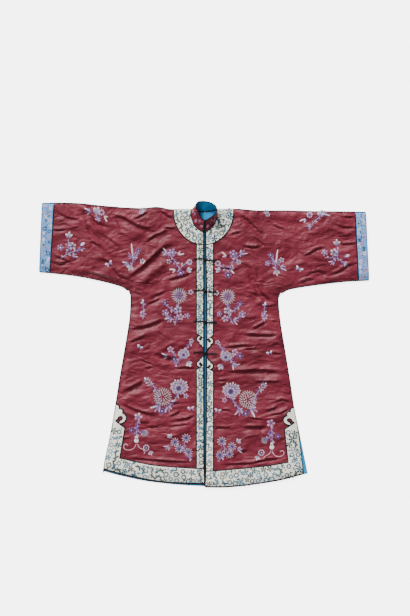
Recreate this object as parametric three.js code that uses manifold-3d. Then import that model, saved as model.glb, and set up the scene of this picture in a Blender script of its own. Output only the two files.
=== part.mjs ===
// A Chinese silk jacket laid out flat, front up: two body halves, each cut in one piece with its sleeve and
// folded over at the shoulder, a lining, a standing collar, ribbon trims with cloud heads, and cord frogs.
// Millimetres. The jacket lies on the XY plane, collar towards +Y. Left and right are as seen from above.
import * as THREE from "three";
import { mergeVertices } from "three/addons/utils/BufferGeometryUtils.js";
import Module from "manifold-3d";

const wasm = await Module();
wasm.setup();

// Thicknesses and gaps
const SILK = 1.2; // wall of the body cloth
const CUFF_SILK = 1.2; // wall of the cuff band
const LINING = 1.0;
const RIBBON = 1; // wall of the woven trims
const COLLAR = 1.6; // stiffened outer wall of the collar
const COLLAR_LINING = 1;
const GAP = 0.3; // between pieces that touch or are sewn together

// Heights of the middle of the front cloth above the surface that the jacket lies on
const LOFT = 5.6; // away from every edge
const LOWEST = SILK + GAP + LINING + 2 * GAP + SILK / 2; // where a trough comes down near the lining
const SEAM_LEVEL = SILK + GAP + SILK / 2; // where it is sewn to the back
const FREE_LEVEL = 3.8; // at the hem, the slits and the front opening
const FOLD_LEVEL = 5; // at the shoulder fold
const ROLL = { seam: 30, fold: 16, free: 24 }; // how far from each edge the cloth has come up
const FOLD_RADIUS = 3;

// The profile across a fold, in half widths: a ridge, and a trough on its upper side
const RIDGE = { at: -0.6, sharpness: 1.6, height: 0.8 };
const TROUGH = { at: 0.7, sharpness: 2.2, height: 0.5 };
const FOLD_ENDS = 0.3; // share of a fold's length over which it dies away at each end

// Main places, y from the shoulder line, x from the centre back seam
const SLIT_TOP = -800;
const SLIT_BLEND = 50;
const NECK = { x: -4, y: -16, rx: 54, ry: 77, backDepth: 15 };
const YOKE = { x: -5.6, y: -14, rx: 118, ry: 131 };
const NECK_TOP = 60; // the neck hole is open up to here, past the shoulder fold
const NECK_STEPS = { front: 28, back: 14 };
const LINING_INSET = { seam: 26, slit: 2, arm: 26, neck: 2.5 };
const LINING_TOP = { neck: -9, arm: -24 };
const LINING_STEPS = { firstSide: 70, side: 75, hem: 8, neck: 12, neckEnds: 10 };

// Cells of the cloth's lattice
const CELLS = { across: 14, sleeve: 12, body: 28, chest: 13, backChest: 2, backBody: 7, cuff: 1 };
const BACK_CROWDING = 1.7; // the back's rows crowd towards the underarm, where its side curves
const EDGE_CELL = 10;
const CHEST_DEPTH = 330; // from the underarm to the shoulder
const SLOPE_STEP = 1; // how far to each side a place's slope is read

// How many of the lattice's columns the yoke, the front bands and the slits' ribbons lie on
const YOKE_COLUMNS = 7;
const BAND_COLUMNS = 2;
const SLIT_COLUMNS = 4;
const BEYOND = 60; // how far a cutting shape reaches past the cloth
const TALL = 80; // height of a cutting prism

// The pattern of each half as it lies. x is measured outwards from the centre back seam.
const HALVES = {
  left: {
    side: -1,
    opening: [
      { y: -1104, x: 2 },
      { y: -1000, x: 5 },
      { y: -600, x: 6 },
      { y: -90, x: 6 },
      { y: 30, x: 6 },
    ],
    frontSide: [
      { y: -1060, x: 408 },
      { y: -1008, x: 400 },
      { y: -944, x: 386 },
      { y: -880, x: 373 },
      { y: -800, x: 359.5 },
      { y: -688, x: 342 },
      { y: -592, x: 325.5 },
      { y: -496, x: 309 },
      { y: -432, x: 300 },
      { y: -360, x: 297 },
      { y: -344, x: 299 },
      { y: -331, x: 306 },
    ],
    backSide: [
      { y: -1060, x: 411 },
      { y: -880, x: 373 },
      { y: -800, x: 359.5 },
    ],
    frontHem: [
      { x: 0, y: -1104 },
      { x: 117, y: -1101 },
      { x: 206, y: -1092 },
      { x: 317, y: -1070 },
      { x: 405, y: -1046 },
    ],
    backHem: [
      { x: 0, y: -1113 },
      { x: 108, y: -1107 },
      { x: 236, y: -1092 },
      { x: 340, y: -1070 },
      { x: 409, y: -1052 },
    ],
    underarm: { x: 306, y: -331 },
    sleeve: [
      { x: 0, top: -4, bottom: -331 },
      { x: 108, top: -4, bottom: -331 },
      { x: 140, top: -6, bottom: -331 },
      { x: 190, top: 3, bottom: -331 },
      { x: 250, top: -2, bottom: -331 },
      { x: 306, top: 0, bottom: -331 },
      { x: 328, top: 1, bottom: -317 },
      { x: 360, top: 4, bottom: -306 },
      { x: 420, top: 9, bottom: -291 },
      { x: 492, top: 17, bottom: -276 },
      { x: 564, top: 20, bottom: -266 },
      { x: 663, top: 18.5, bottom: -256 },
    ],
    cuffSeam: { top: 603, bottom: 620 },
    cuffEdge: { top: 652, bottom: 663 },
  },
  right: {
    side: 1,
    opening: [
      { y: -1117, x: 1 },
      { y: -1020, x: 4 },
      { y: -820, x: 6 },
      { y: -400, x: 8 },
      { y: -150, x: 4 },
      { y: 30, x: 3 },
    ],
    frontSide: [
      { y: -1066, x: 394 },
      { y: -976, x: 383 },
      { y: -876, x: 370 },
      { y: -800, x: 356 },
      { y: -688, x: 339 },
      { y: -560, x: 318 },
      { y: -496, x: 307 },
      { y: -432, x: 298 },
      { y: -372, x: 293 },
      { y: -354, x: 295 },
      { y: -341, x: 303 },
    ],
    backSide: [
      { y: -1066, x: 412 },
      { y: -876, x: 373 },
      { y: -800, x: 356 },
    ],
    frontHem: [
      { x: 0, y: -1117 },
      { x: 84, y: -1117 },
      { x: 180, y: -1108 },
      { x: 308, y: -1087 },
      { x: 394, y: -1064 },
    ],
    backHem: [
      { x: 0, y: -1113 },
      { x: 100, y: -1111 },
      { x: 200, y: -1102 },
      { x: 310, y: -1084 },
      { x: 409, y: -1062 },
    ],
    underarm: { x: 303, y: -341 },
    sleeve: [
      { x: 0, top: -4, bottom: -341 },
      { x: 116, top: -3, bottom: -341 },
      { x: 160, top: -7, bottom: -341 },
      { x: 212, top: -11, bottom: -341 },
      { x: 303, top: -11, bottom: -341 },
      { x: 328, top: -11, bottom: -329 },
      { x: 360, top: -12, bottom: -321 },
      { x: 436, top: -14, bottom: -309 },
      { x: 556, top: -15, bottom: -295 },
      { x: 656, top: -17, bottom: -289 },
    ],
    cuffSeam: { top: 600, bottom: 613 },
    cuffEdge: { top: 643, bottom: 656 },
  },
};

// The largest folds of the front, each a ridge from one end to the other with a trough along its upper side.
// x is in the jacket's own frame, height is the ridge's, and width is half of the ridge.
const FOLDS = [
  { x1: -520, y1: -22, x2: -375, y2: -98, width: 20, height: 7 },
  { x1: -370, y1: -52, x2: -190, y2: -122, width: 22, height: 7 },
  { x1: -600, y1: -32, x2: -490, y2: -76, width: 18, height: 4.5 },
  { x1: -400, y1: -140, x2: -330, y2: -196, width: 18, height: 4 },
  { x1: -130, y1: -178, x2: -295, y2: -306, width: 22, height: 7 },
  { x1: -118, y1: -104, x2: -225, y2: -146, width: 20, height: 5 },
  { x1: -430, y1: -214, x2: -335, y2: -290, width: 20, height: 4.5 },
  { x1: -64, y1: -280, x2: -150, y2: -312, width: 20, height: 4 },
  { x1: -160, y1: -472, x2: -300, y2: -506, width: 20, height: 6 },
  { x1: -150, y1: -350, x2: -226, y2: -402, width: 20, height: 4 },
  { x1: -212, y1: -596, x2: -112, y2: -636, width: 20, height: 6 },
  { x1: -246, y1: -722, x2: -344, y2: -768, width: 20, height: 6 },
  { x1: -350, y1: -794, x2: -172, y2: -862, width: 18, height: 5.5 },
  { x1: -50, y1: -856, x2: -142, y2: -886, width: 20, height: 4 },
  { x1: -296, y1: -1012, x2: -50, y2: -1046, width: 16, height: 3.5 },
  { x1: 134, y1: -34, x2: 236, y2: -124, width: 22, height: 7 },
  { x1: 150, y1: -232, x2: 218, y2: -362, width: 24, height: 6.5 },
  { x1: 200, y1: -350, x2: 286, y2: -396, width: 20, height: 6 },
  { x1: 380, y1: -312, x2: 580, y2: -256, width: 20, height: 6.5 },
  { x1: 500, y1: -66, x2: 596, y2: -100, width: 18, height: 5 },
  { x1: 440, y1: -172, x2: 600, y2: -162, width: 22, height: 4.5 },
  { x1: 190, y1: -496, x2: 300, y2: -524, width: 20, height: 6 },
  { x1: 150, y1: -568, x2: 240, y2: -578, width: 18, height: 3.5 },
  { x1: 158, y1: -668, x2: 322, y2: -680, width: 22, height: 6 },
  { x1: 240, y1: -842, x2: 346, y2: -800, width: 20, height: 4.5 },
  { x1: 146, y1: -894, x2: 256, y2: -898, width: 20, height: 6 },
];

// Frogs: y of each pair of arms, left and right, where they cross the front bands
const FROGS = [
  { left: -204, right: -209, overBand: true },
  { left: -330, right: -335, overBand: true },
  { left: -453, right: -458, overBand: true },
  { left: -576, right: -583, overBand: false },
];
const FROG = { reach: 47, width: 5, wall: 1.6, link: 6, knotDepth: 4.6, knotHeight: 3.9, knotZ: 6.8 };

// Ribbon trims. A cloud head starts at the ribbon's shoulder, where the ribbon is still at full width.
const FRONT_BAND = {
  left: { outer: 32, upper: { shoulder: -501, along: 1 }, lower: { shoulder: -645, along: 0.95 } },
  right: { outer: 31.5, upper: { shoulder: -507, along: 1.1 }, lower: { shoulder: -654, along: 0.95 } },
};
const HEM_TRIM = {
  left: {
    inner: [
      { x: -10, y: -1044 },
      { x: 33, y: -1043 },
      { x: 206, y: -1030 },
      { x: 343, y: -1001 },
    ],
    shoulder: { x: 322, y: -879 },
    along: 1.66,
  },
  right: {
    inner: [
      { x: -10, y: -1054 },
      { x: 31, y: -1053 },
      { x: 246, y: -1033 },
      { x: 334, y: -1018 },
    ],
    shoulder: { x: 320, y: -884 },
    along: 1.52,
  },
};
const PIPING = { width: 3.4, wall: 1.1 };
const JOIN = PIPING.width + 2 * GAP; // between two ribbons that meet with piping between them

// Half of a cloud head on a ribbon 28 wide, u out from the ribbon's straight edge and v on towards the tip.
// The shoulder slants in to a narrow neck, a curl opens round an eye, and two lobes step down to the tip.
const HEAD = {
  width: 28,
  slant: { u1: 27, v1: 0, u2: 5, v2: 16 },
  neck: 5.5,
  curl: { u: 16, v: 23, ru: 11.5, rv: 11.5 },
  eye: { u: 15, v: 23, ru: 5, rv: 5 },
  mouth: { u: 10.5, v: 16.5, ru: 4, rv: 5 },
  middleLobe: { u: 10, v: 37.5, ru: 8, rv: 7.5 },
  tipLobe: { u: 2, v: 46.5, ru: 6.5, rv: 8.5 },
};
const LEAST_EYE = 2; // an eye smaller than this is closed
const SHOULDER_SHARE = 2; // the ribbon runs at full width up to this short of its slant
const FAR_INSIDE = -20; // a head's shape reaches this far over the ribbon's straight edge
const HEAD_FROM = -3; // where the head of a hem trim takes over from its ribbon
const LOBE_STEPS = 12;
const HEM_STEPS = 12;

// Collar, from its right front end round the back to its left front end: where its base is sewn, where its
// top edge stands, and the rise between them.
const COLLAR_SECTIONS = [
  { baseX: -1.6, baseY: -92, baseZ: 6, topX: 1.6, topY: -51, rise: 19 },
  { baseX: 18, baseY: -85, baseZ: 6, topX: 17, topY: -43, rise: 20 },
  { baseX: 36, baseY: -65.5, baseZ: 6, topX: 31, topY: -34, rise: 31 },
  { baseX: 45.5, baseY: -38, baseZ: 6, topX: 43, topY: -24, rise: 40 },
  { baseX: 47.8, baseY: -16, baseZ: 5.5, topX: 47, topY: -9, rise: 42 },
  { baseX: 43.5, baseY: -6.5, baseZ: 3.4, topX: 41, topY: 6, rise: 41 },
  { baseX: 25, baseY: -11.3, baseZ: 2, topX: 26, topY: 18, rise: 31 },
  { baseX: -4, baseY: -13.8, baseZ: 2, topX: 2, topY: 25, rise: 20 },
  { baseX: -33, baseY: -11.3, baseZ: 2, topX: -25, topY: 24, rise: 22 },
  { baseX: -51.5, baseY: -6.5, baseZ: 3.4, topX: -35, topY: 14, rise: 30 },
  { baseX: -56, baseY: -18, baseZ: 5.5, topX: -35, topY: 2, rise: 30 },
  { baseX: -53, baseY: -40, baseZ: 6, topX: -28, topY: -14, rise: 25 },
  { baseX: -42.6, baseY: -67.6, baseZ: 6, topX: -22, topY: -30, rise: 19 },
  { baseX: -25, baseY: -85.3, baseZ: 6, topX: -13, topY: -43, rise: 17 },
  { baseX: -6.4, baseY: -92, baseZ: 6, topX: -2.4, topY: -51, rise: 19 },
];
const COLLAR_CELLS = { around: 30, up: 2 };

// How far out from the middle of the front cloth its trims lie, and the frogs over those
const ON_CLOTH = SILK / 2 + GAP;
const ON_TRIM = ON_CLOTH + PIPING.wall + GAP;

const { lerp, clamp, smoothstep } = THREE.MathUtils;

// Reads a column of a table at a value of its key column, on a smooth curve through the rows.
function read(table, key, at, column) {
  const last = table.length - 1;
  const value = clamp(at, table[0][key], table[last][key]);
  const k = Math.max(0, table.findIndex((row, n) => n > 0 && row[key] >= value) - 1);
  const slope = (n) => {
    const [a, b] = [table[Math.max(0, n - 1)], table[Math.min(last, n + 1)]];
    return (b[column] - a[column]) / (b[key] - a[key]);
  };
  const [a, b] = [table[k], table[k + 1]];
  const span = b[key] - a[key];
  const t = (value - a[key]) / span;
  const bend = t * (1 - t) * span;
  return lerp(a[column], b[column], t * t * (3 - 2 * t)) + bend * ((1 - t) * slope(k) - t * slope(k + 1));
}

// How far a place in the front is from each of its edges, outwards positions as positive x.
function edgeDistances(half, x, y) {
  const top = read(half.sleeve, "x", x, "top") - y;
  const onBody = y < half.underarm.y;
  const seam = onBody
    ? read(half.frontSide, "y", y, "x") - x
    : Math.max(y - read(half.sleeve, "x", x, "bottom"), half.underarm.x - x);
  const hem = y - read(half.frontHem, "x", x, "y");
  const opening = x - read(half.opening, "y", y, "x");
  return { top, seam, hem, opening };
}

// Height of a fold at a place: a ridge with a shallower trough along its upper side.
function foldHeight(fold, x, y) {
  const [dx, dy] = [fold.x2 - fold.x1, fold.y2 - fold.y1];
  const length = Math.hypot(dx, dy);
  const along = ((x - fold.x1) * dx + (y - fold.y1) * dy) / length ** 2;
  if (along <= 0 || along >= 1) return 0;
  const upwards = Math.sign(dx) * ((y - fold.y1) * dx - (x - fold.x1) * dy);
  const across = upwards / length / fold.width;
  const ends = smoothstep(along, 0, FOLD_ENDS) * smoothstep(1 - along, 0, FOLD_ENDS);
  const swell = ({ at, sharpness, height }) => height * Math.exp(-((across - at) ** 2) * sharpness);
  return fold.height * ends * (swell(RIDGE) - swell(TROUGH));
}

// Height of the middle of the front cloth.
function frontHeight(half, x, y) {
  const edge = edgeDistances(half, x, y);
  let z = LOFT;
  for (const fold of FOLDS) z += foldHeight(fold, half.side * x, y);
  const slit = smoothstep(SLIT_TOP - y, 0, SLIT_BLEND);
  z = Math.max(z, LOWEST);
  z = lerp(FOLD_LEVEL, z, smoothstep(edge.top, 0, ROLL.fold));
  z = lerp(FREE_LEVEL, z, smoothstep(edge.hem, 0, ROLL.free));
  z = lerp(FREE_LEVEL, z, smoothstep(edge.opening, 0, ROLL.free));
  const seamLevel = lerp(SEAM_LEVEL, FREE_LEVEL, slit);
  return lerp(seamLevel, z, smoothstep(edge.seam, 0, lerp(ROLL.seam, ROLL.free, slit)));
}

// Place k of n cells along a length, the last cell narrow, and the first too where both ends are edges.
function spaced(k, n, length, bothEnds) {
  const first = bothEnds ? EDGE_CELL : 0;
  if (k === 0) return 0;
  if (k === n) return length;
  return bothEnds
    ? first + ((length - 2 * EDGE_CELL) * (k - 1)) / (n - 2)
    : ((length - EDGE_CELL) * k) / (n - 1);
}

// Rows of the lattice, from the front hem up to the shoulder fold and down the back to its hem.
const ROW = {};
ROW.underarm = CELLS.body;
ROW.shoulder = ROW.underarm + CELLS.chest;
ROW.fold = ROW.shoulder + 1;
ROW.backShoulder = ROW.fold + 1;
ROW.backUnderarm = ROW.backShoulder + CELLS.backChest;
ROW.backHem = ROW.backUnderarm + CELLS.backBody;

// A place in the plan of the body below the underarm: across is 0 to 1 from the centre to the side.
function bodyPlan(inner, outer, hemTable, half, column, down) {
  const hemWidth = outer(hemTable[hemTable.length - 1].y);
  const share = column / CELLS.across;
  const hem = read(hemTable, "x", share * hemWidth, "y");
  const y = lerp(half.underarm.y, hem, down);
  const width = outer(y) - inner(y);
  return { x: inner(y) + spaced(column, CELLS.across, width, false), y };
}

// A place in the plan of the chest and the sleeve: up is 0 to 1 from the underarm to the shoulder.
function chestPlan(inner, half, column, up) {
  const onSleeve = column > CELLS.across;
  const seam = lerp(half.cuffSeam.bottom, half.cuffSeam.top, up);
  const y0 = lerp(half.underarm.y, 0, up);
  const x = onSleeve
    ? lerp(half.underarm.x, seam, (column - CELLS.across) / CELLS.sleeve)
    : inner(y0) + spaced(column, CELLS.across, half.underarm.x - inner(y0), false);
  return chestPlace(half, x, up);
}

// A place over the sleeve or chest at x, with y from the underarm seam to the shoulder fold.
function chestPlace(half, x, up) {
  const bottom = read(half.sleeve, "x", x, "bottom");
  const top = read(half.sleeve, "x", x, "top") - FOLD_RADIUS;
  return { x, y: lerp(bottom, top, up) };
}

// The share of the way up the chest at row k of n, with narrow cells at both edges.
const chestShare = (k, n) => spaced(k, n, CHEST_DEPTH, true) / CHEST_DEPTH;

// The middle of the cloth and its outward direction at a lattice point: plan gives x and y for a row.
function clothPoint(half, row, plan) {
  const { x, y } = plan;
  if (row <= ROW.shoulder) {
    const step = SLOPE_STEP;
    const z = frontHeight(half, x, y);
    const slopeX = (frontHeight(half, x + step, y) - frontHeight(half, x - step, y)) / (2 * step);
    const slopeY = (frontHeight(half, x, y + step) - frontHeight(half, x, y - step)) / (2 * step);
    return { at: [x, y, z], out: new THREE.Vector3(-slopeX, -slopeY, 1).normalize() };
  }
  if (row === ROW.fold)
    return { at: [x, y + FOLD_RADIUS, (FOLD_LEVEL + SILK / 2) / 2], out: new THREE.Vector3(0, 1, 0) };
  return { at: [x, y, SILK / 2], out: new THREE.Vector3(0, 0, -1) };
}

// The lattice point of a body half at a column and row.
function bodyPoint(half, column, row) {
  const seamX = GAP / 2;
  const opening = (y) => read(half.opening, "y", y, "x");
  const centreBack = () => seamX;
  const frontSide = (y) => read(half.frontSide, "y", y, "x");
  const backSide = (y) => (y < SLIT_TOP ? read(half.backSide, "y", y, "x") : frontSide(y));
  let plan;
  if (row < ROW.underarm)
    plan = bodyPlan(opening, frontSide, half.frontHem, half, column, 1 - row / ROW.underarm);
  else if (row <= ROW.shoulder)
    plan = chestPlan(opening, half, column, chestShare(row - ROW.underarm, CELLS.chest));
  else if (row <= ROW.backShoulder) plan = chestPlan(centreBack, half, column, 1);
  else if (row <= ROW.backUnderarm)
    plan = chestPlan(centreBack, half, column, (ROW.backUnderarm - row) / CELLS.backChest);
  else {
    const down = ((row - ROW.backUnderarm) / CELLS.backBody) ** BACK_CROWDING;
    plan = bodyPlan(centreBack, backSide, half.backHem, half, column, down);
  }
  return clothPoint(half, row, plan);
}

// The lattice point of a cuff band: column 0 at its seam, rows as the chest's.
function cuffPoint(half, column, row) {
  const up =
    row <= ROW.shoulder
      ? chestShare(row - ROW.underarm, CELLS.chest)
      : clamp((ROW.backUnderarm - row) / CELLS.backChest, 0, 1);
  const seam = lerp(half.cuffSeam.bottom, half.cuffSeam.top, up) + GAP;
  const edge = lerp(half.cuffEdge.bottom, half.cuffEdge.top, up);
  return clothPoint(half, row, chestPlace(half, lerp(seam, edge, column / CELLS.cuff), up));
}

// A closed wall over some cells of a lattice, between two distances out from its points.
function wall(half, pointAt, cells, low, high) {
  const positions = [];
  const faces = [];
  const index = new Map();
  const vertex = (column, row, distance) => {
    const key = `${column},${row},${distance}`;
    if (!index.has(key)) {
      const { at, out } = pointAt(half, column, row);
      index.set(key, positions.length / 3);
      const p = new THREE.Vector3(...at).addScaledVector(out, distance);
      positions.push(half.side * p.x, p.y, p.z);
    }
    return index.get(key);
  };
  const inside = new Map(cells.map((cell) => [cell.join(), cell]));
  const quad = (a, b, c, d) => {
    const turned = half.side > 0 ? [a, b, c, a, c, d] : [a, c, b, a, d, c];
    faces.push(...turned);
  };
  for (const [c, r] of inside.values()) {
    const corners = [
      [c, r],
      [c + 1, r],
      [c + 1, r + 1],
      [c, r + 1],
    ];
    const beyond = [
      [c, r - 1],
      [c + 1, r],
      [c, r + 1],
      [c - 1, r],
    ];
    quad(...corners.map(([i, j]) => vertex(i, j, high)));
    quad(...[0, 3, 2, 1].map((k) => vertex(...corners[k], low)));
    corners.forEach((from, k) => {
      if (inside.has(beyond[k].join())) return;
      const to = corners[(k + 1) % 4];
      quad(vertex(...from, low), vertex(...to, low), vertex(...to, high), vertex(...from, high));
    });
  }
  const geometry = new THREE.BufferGeometry();
  geometry.setAttribute("position", new THREE.BufferAttribute(new Float32Array(positions), 3));
  geometry.setIndex(faces);
  return geometry;
}

// The cells of a block of columns and rows.
function block(columnFrom, columnTo, rowFrom, rowTo) {
  const cells = [];
  for (let c = columnFrom; c < columnTo; c++) for (let r = rowFrom; r < rowTo; r++) cells.push([c, r]);
  return cells;
}

// Solids for joining and cutting
function toSolid(geometry) {
  const bare = geometry.clone();
  bare.deleteAttribute("normal");
  bare.deleteAttribute("uv");
  const merged = mergeVertices(bare, 1e-4);
  const vertProperties = new Float32Array(merged.attributes.position.array);
  return new wasm.Manifold(
    new wasm.Mesh({ numProp: 3, vertProperties, triVerts: new Uint32Array(merged.index.array) }),
  );
}

function toGeometry(solid) {
  const mesh = solid.getMesh();
  const geometry = new THREE.BufferGeometry();
  geometry.setAttribute("position", new THREE.BufferAttribute(mesh.vertProperties, 3));
  geometry.setIndex(new THREE.BufferAttribute(mesh.triVerts, 1));
  return geometry;
}

// An upright prism over an outline of [x, y] points.
function prism(points, from = 0, to = TALL) {
  const shape = new THREE.Shape(points.map(([x, y]) => new THREE.Vector2(x, y)));
  const geometry = new THREE.ExtrudeGeometry(shape, { depth: to - from, bevelEnabled: false });
  geometry.translate(0, 0, from);
  return toSolid(geometry);
}

// Points of an elliptical arc, angles in degrees.
function arc(x, y, rx, ry, from, to, steps) {
  return Array.from({ length: steps + 1 }, (_, k) => {
    const angle = THREE.MathUtils.degToRad(lerp(from, to, k / steps));
    return [x + rx * Math.cos(angle), y + ry * Math.sin(angle)];
  });
}

const ellipse = ({ x, y, rx, ry }, grow, steps = 48) =>
  prism(arc(x, y, rx + grow, ry + grow, 0, 360, steps).slice(0, -1));

// A cloud head and the ribbon behind it, back to v = from, grown by a margin. place turns u and v into x
// and y, and a step of 1 in u or v is scale.u or scale.v long.
function cloudHead(place, scale, from, grow) {
  const [gu, gv] = [grow / scale.u, grow / scale.v];
  const lobe = ({ u, v, ru, rv }, sign) =>
    prism(arc(u, v, ru + sign * gu, rv + sign * gv, 0, 360, LOBE_STEPS).slice(0, -1).map(place));
  const { width, slant, neck, curl, eye, mouth, middleLobe, tipLobe } = HEAD;
  const slope = Math.hypot(slant.u1 - slant.u2, slant.v2 - slant.v1);
  const out = [((slant.v2 - slant.v1) / slope) * gu, ((slant.u1 - slant.u2) / slope) * gv];
  const shoulder = prism(
    [
      [FAR_INSIDE, from],
      [width + gu, from],
      [width + gu, slant.v1 - SHOULDER_SHARE],
      [slant.u1 + out[0], slant.v1 + out[1]],
      [slant.u2 + out[0], slant.v2 + out[1]],
      [neck + gu, curl.v],
      [middleLobe.u, middleLobe.v],
      [tipLobe.u, tipLobe.v],
      [FAR_INSIDE, tipLobe.v],
    ].map(place),
  );
  let round = lobe(curl, 1);
  if (eye.ru > gu + LEAST_EYE) round = round.subtract(lobe(eye, -1));
  if (grow <= GAP) round = round.subtract(lobe(mouth, -1));
  return shoulder.add(round).add(lobe(middleLobe, 1)).add(lobe(tipLobe, 1));
}

// The neck hole: a deep scoop in the front layer and a shallow one in the back layer, through the fold.
const neckOutline = (bottom, grow) => [
  ...arc(NECK.x, NECK.y, NECK.rx + grow, bottom + grow, 180, 360, NECK_STEPS.front),
  [NECK.x + NECK.rx + grow, NECK_TOP],
  [NECK.x - NECK.rx - grow, NECK_TOP],
];
const backScoop = arc(NECK.x, 0, NECK.rx, NECK.backDepth, 180, 360, NECK_STEPS.back);
const neckHole = (grow) =>
  prism(neckOutline(NECK.ry, grow), SILK + GAP / 2, TALL).add(
    prism([...backScoop, [NECK.x + NECK.rx, NECK_TOP], [NECK.x - NECK.rx, NECK_TOP]], -SILK, TALL),
  );

function body(half) {
  const cells = [
    ...block(0, CELLS.across, 0, ROW.underarm),
    ...block(0, CELLS.across + CELLS.sleeve, ROW.underarm, ROW.backUnderarm),
    ...block(0, CELLS.across, ROW.backUnderarm, ROW.backHem),
  ];
  const cloth = toSolid(wall(half, bodyPoint, cells, -SILK / 2, SILK / 2));
  return toGeometry(cloth.subtract(neckHole(0)));
}

const cuff = (half) =>
  wall(half, cuffPoint, block(0, CELLS.cuff, ROW.underarm, ROW.backUnderarm), -CUFF_SILK / 2, CUFF_SILK / 2);

// The lattice row just beyond a height in the front, up or down.
function rowBeyond(half, y, way) {
  const { underarm, frontHem } = half;
  const row =
    y < underarm.y
      ? (ROW.underarm * (y - frontHem[0].y)) / (underarm.y - frontHem[0].y)
      : ROW.underarm + (CELLS.chest * (y - underarm.y)) / -underarm.y;
  return clamp(way > 0 ? Math.ceil(row) + 1 : Math.floor(row) - 1, 0, ROW.shoulder);
}

// What lies on the front between two heights and up to a column, cut to a shape seen from above.
function onFront(half, cells, thickness, shape, level = ON_CLOTH) {
  return toSolid(wall(half, bodyPoint, cells, level, level + thickness)).intersect(shape);
}

// The ribbons of a half. Each has its cells and its shape, a prism of the ribbon's outline grown by a margin.
function yoke(half) {
  const cells = block(0, YOKE_COLUMNS, rowBeyond(half, YOKE.y - YOKE.ry - JOIN, -1), ROW.shoulder);
  return { cells, shape: (grow) => ellipse(YOKE, grow).subtract(neckHole(GAP)) };
}

// A front band, from the yoke or the hem trim to its cloud head at the waist.
const HEAD_REACH = HEAD.tipLobe.v + HEAD.tipLobe.rv + PIPING.width;
function frontBand(half, name, part) {
  const { outer } = FRONT_BAND[name];
  const { shoulder, along } = FRONT_BAND[name][part];
  const waistwards = part === "upper" ? -1 : 1;
  const far = part === "upper" ? YOKE.y - YOKE.ry / 2 : HEM_TRIM[name].inner[1].y + JOIN;
  const tip = shoulder + waistwards * HEAD_REACH * along;
  const place = ([u, v]) => [half.side * (outer - HEAD.width + u), shoulder + waistwards * v * along];
  const shape = (grow) => {
    const from = (waistwards * (far - shoulder) - grow) / along;
    return cloudHead(place, { u: 1, v: along }, from, grow).subtract(ellipse(YOKE, JOIN - grow));
  };
  const rows = [rowBeyond(half, Math.min(far, tip), -1), rowBeyond(half, Math.max(far, tip), 1)];
  return { cells: block(0, BAND_COLUMNS, ...rows), shape };
}

// The hem trim: along the hem, up the slit, and ending in a cloud head at the slit's top.
function hemTrim(half, name) {
  const { inner, shoulder, along } = HEM_TRIM[name];
  const corner = inner[inner.length - 1];
  const edgeX = (y) => read(half.frontSide, "y", y, "x");
  const across = (edgeX(shoulder.y) - shoulder.x) / HEAD.width;
  const place = ([u, v]) => {
    const y = shoulder.y + v * along;
    return [half.side * (edgeX(y) - u * across), y];
  };
  const low = half.frontHem[0].y - BEYOND;
  const shape = (grow) => {
    const hemEdge = Array.from({ length: HEM_STEPS }, (_, k) => {
      const x = lerp(inner[0].x, corner.x, k / HEM_STEPS);
      return [x, read(inner, "x", x, "y") + grow];
    });
    const outline = [
      ...hemEdge,
      [corner.x - grow, corner.y + grow],
      [shoulder.x - grow, shoulder.y],
      [edgeX(shoulder.y) + BEYOND, shoulder.y],
      [edgeX(low) + BEYOND, low],
      [inner[0].x, low],
    ].map(([x, y]) => [half.side * x, y]);
    return prism(outline).add(cloudHead(place, { u: across, v: along }, HEAD_FROM, grow));
  };
  const hemRow = rowBeyond(half, corner.y, 1);
  const top = rowBeyond(half, shoulder.y + HEAD_REACH * along, 1);
  const slit = block(CELLS.across - SLIT_COLUMNS, CELLS.across, hemRow, top);
  return { cells: [...block(0, CELLS.across, 0, hemRow), ...slit], shape };
}

const ribbon = (half, { cells, shape }) => toGeometry(onFront(half, cells, RIBBON, shape(0)));

// One length of piping round some ribbons that meet.
function piping(half, ribbons) {
  const wide = ribbons.map(({ shape }) => shape(GAP + PIPING.width));
  const narrow = ribbons.map(({ shape }) => shape(GAP));
  const join = (solids) => solids.reduce((all, solid) => all.add(solid));
  const cells = ribbons.flatMap((ribbonOf) => ribbonOf.cells);
  return toGeometry(onFront(half, cells, PIPING.wall, join(wide).subtract(join(narrow))));
}

// One arm of a frog, lying over the front band, its inner end at the edge of the opening. The left arm's cord
// runs on into the knot, which fills the opening up to the right arm.
function frogArm(half, name, frog) {
  const y = frog[name];
  const r = FROG.width / 2;
  const tip = arc(FROG.reach - r, 0, r, r, 90, -90, 6);
  const outline = [[0, r], ...tip, [0, -r]].map(([u, v]) => [half.side * u, y + v]);
  const cells = block(0, BAND_COLUMNS, rowBeyond(half, y - r, -1), rowBeyond(half, y + r, 1));
  const level = frog.overBand ? ON_TRIM : ON_CLOTH;
  const arm = onFront(half, cells, FROG.wall, prism(outline), level);
  return toGeometry(name === "left" ? arm.add(knot(frog, FREE_LEVEL + level + FROG.wall / 2)) : arm);
}

function knot(frog, armZ) {
  const y = (frog.left + frog.right) / 2;
  const [left, right] = ["left", "right"].map((name) => read(HALVES[name].opening, "y", y, "x"));
  const ball = new THREE.SphereGeometry(1, 10, 6);
  ball.scale((left + right) / 2 - GAP, FROG.knotDepth, FROG.knotHeight);
  ball.translate((right - left) / 2, y, FROG.knotZ);
  const link = new THREE.BoxGeometry(FROG.link, FROG.width / 2, FROG.wall / 2);
  link.translate(-left, frog.left, armZ);
  return toSolid(ball).add(toSolid(link));
}

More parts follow.
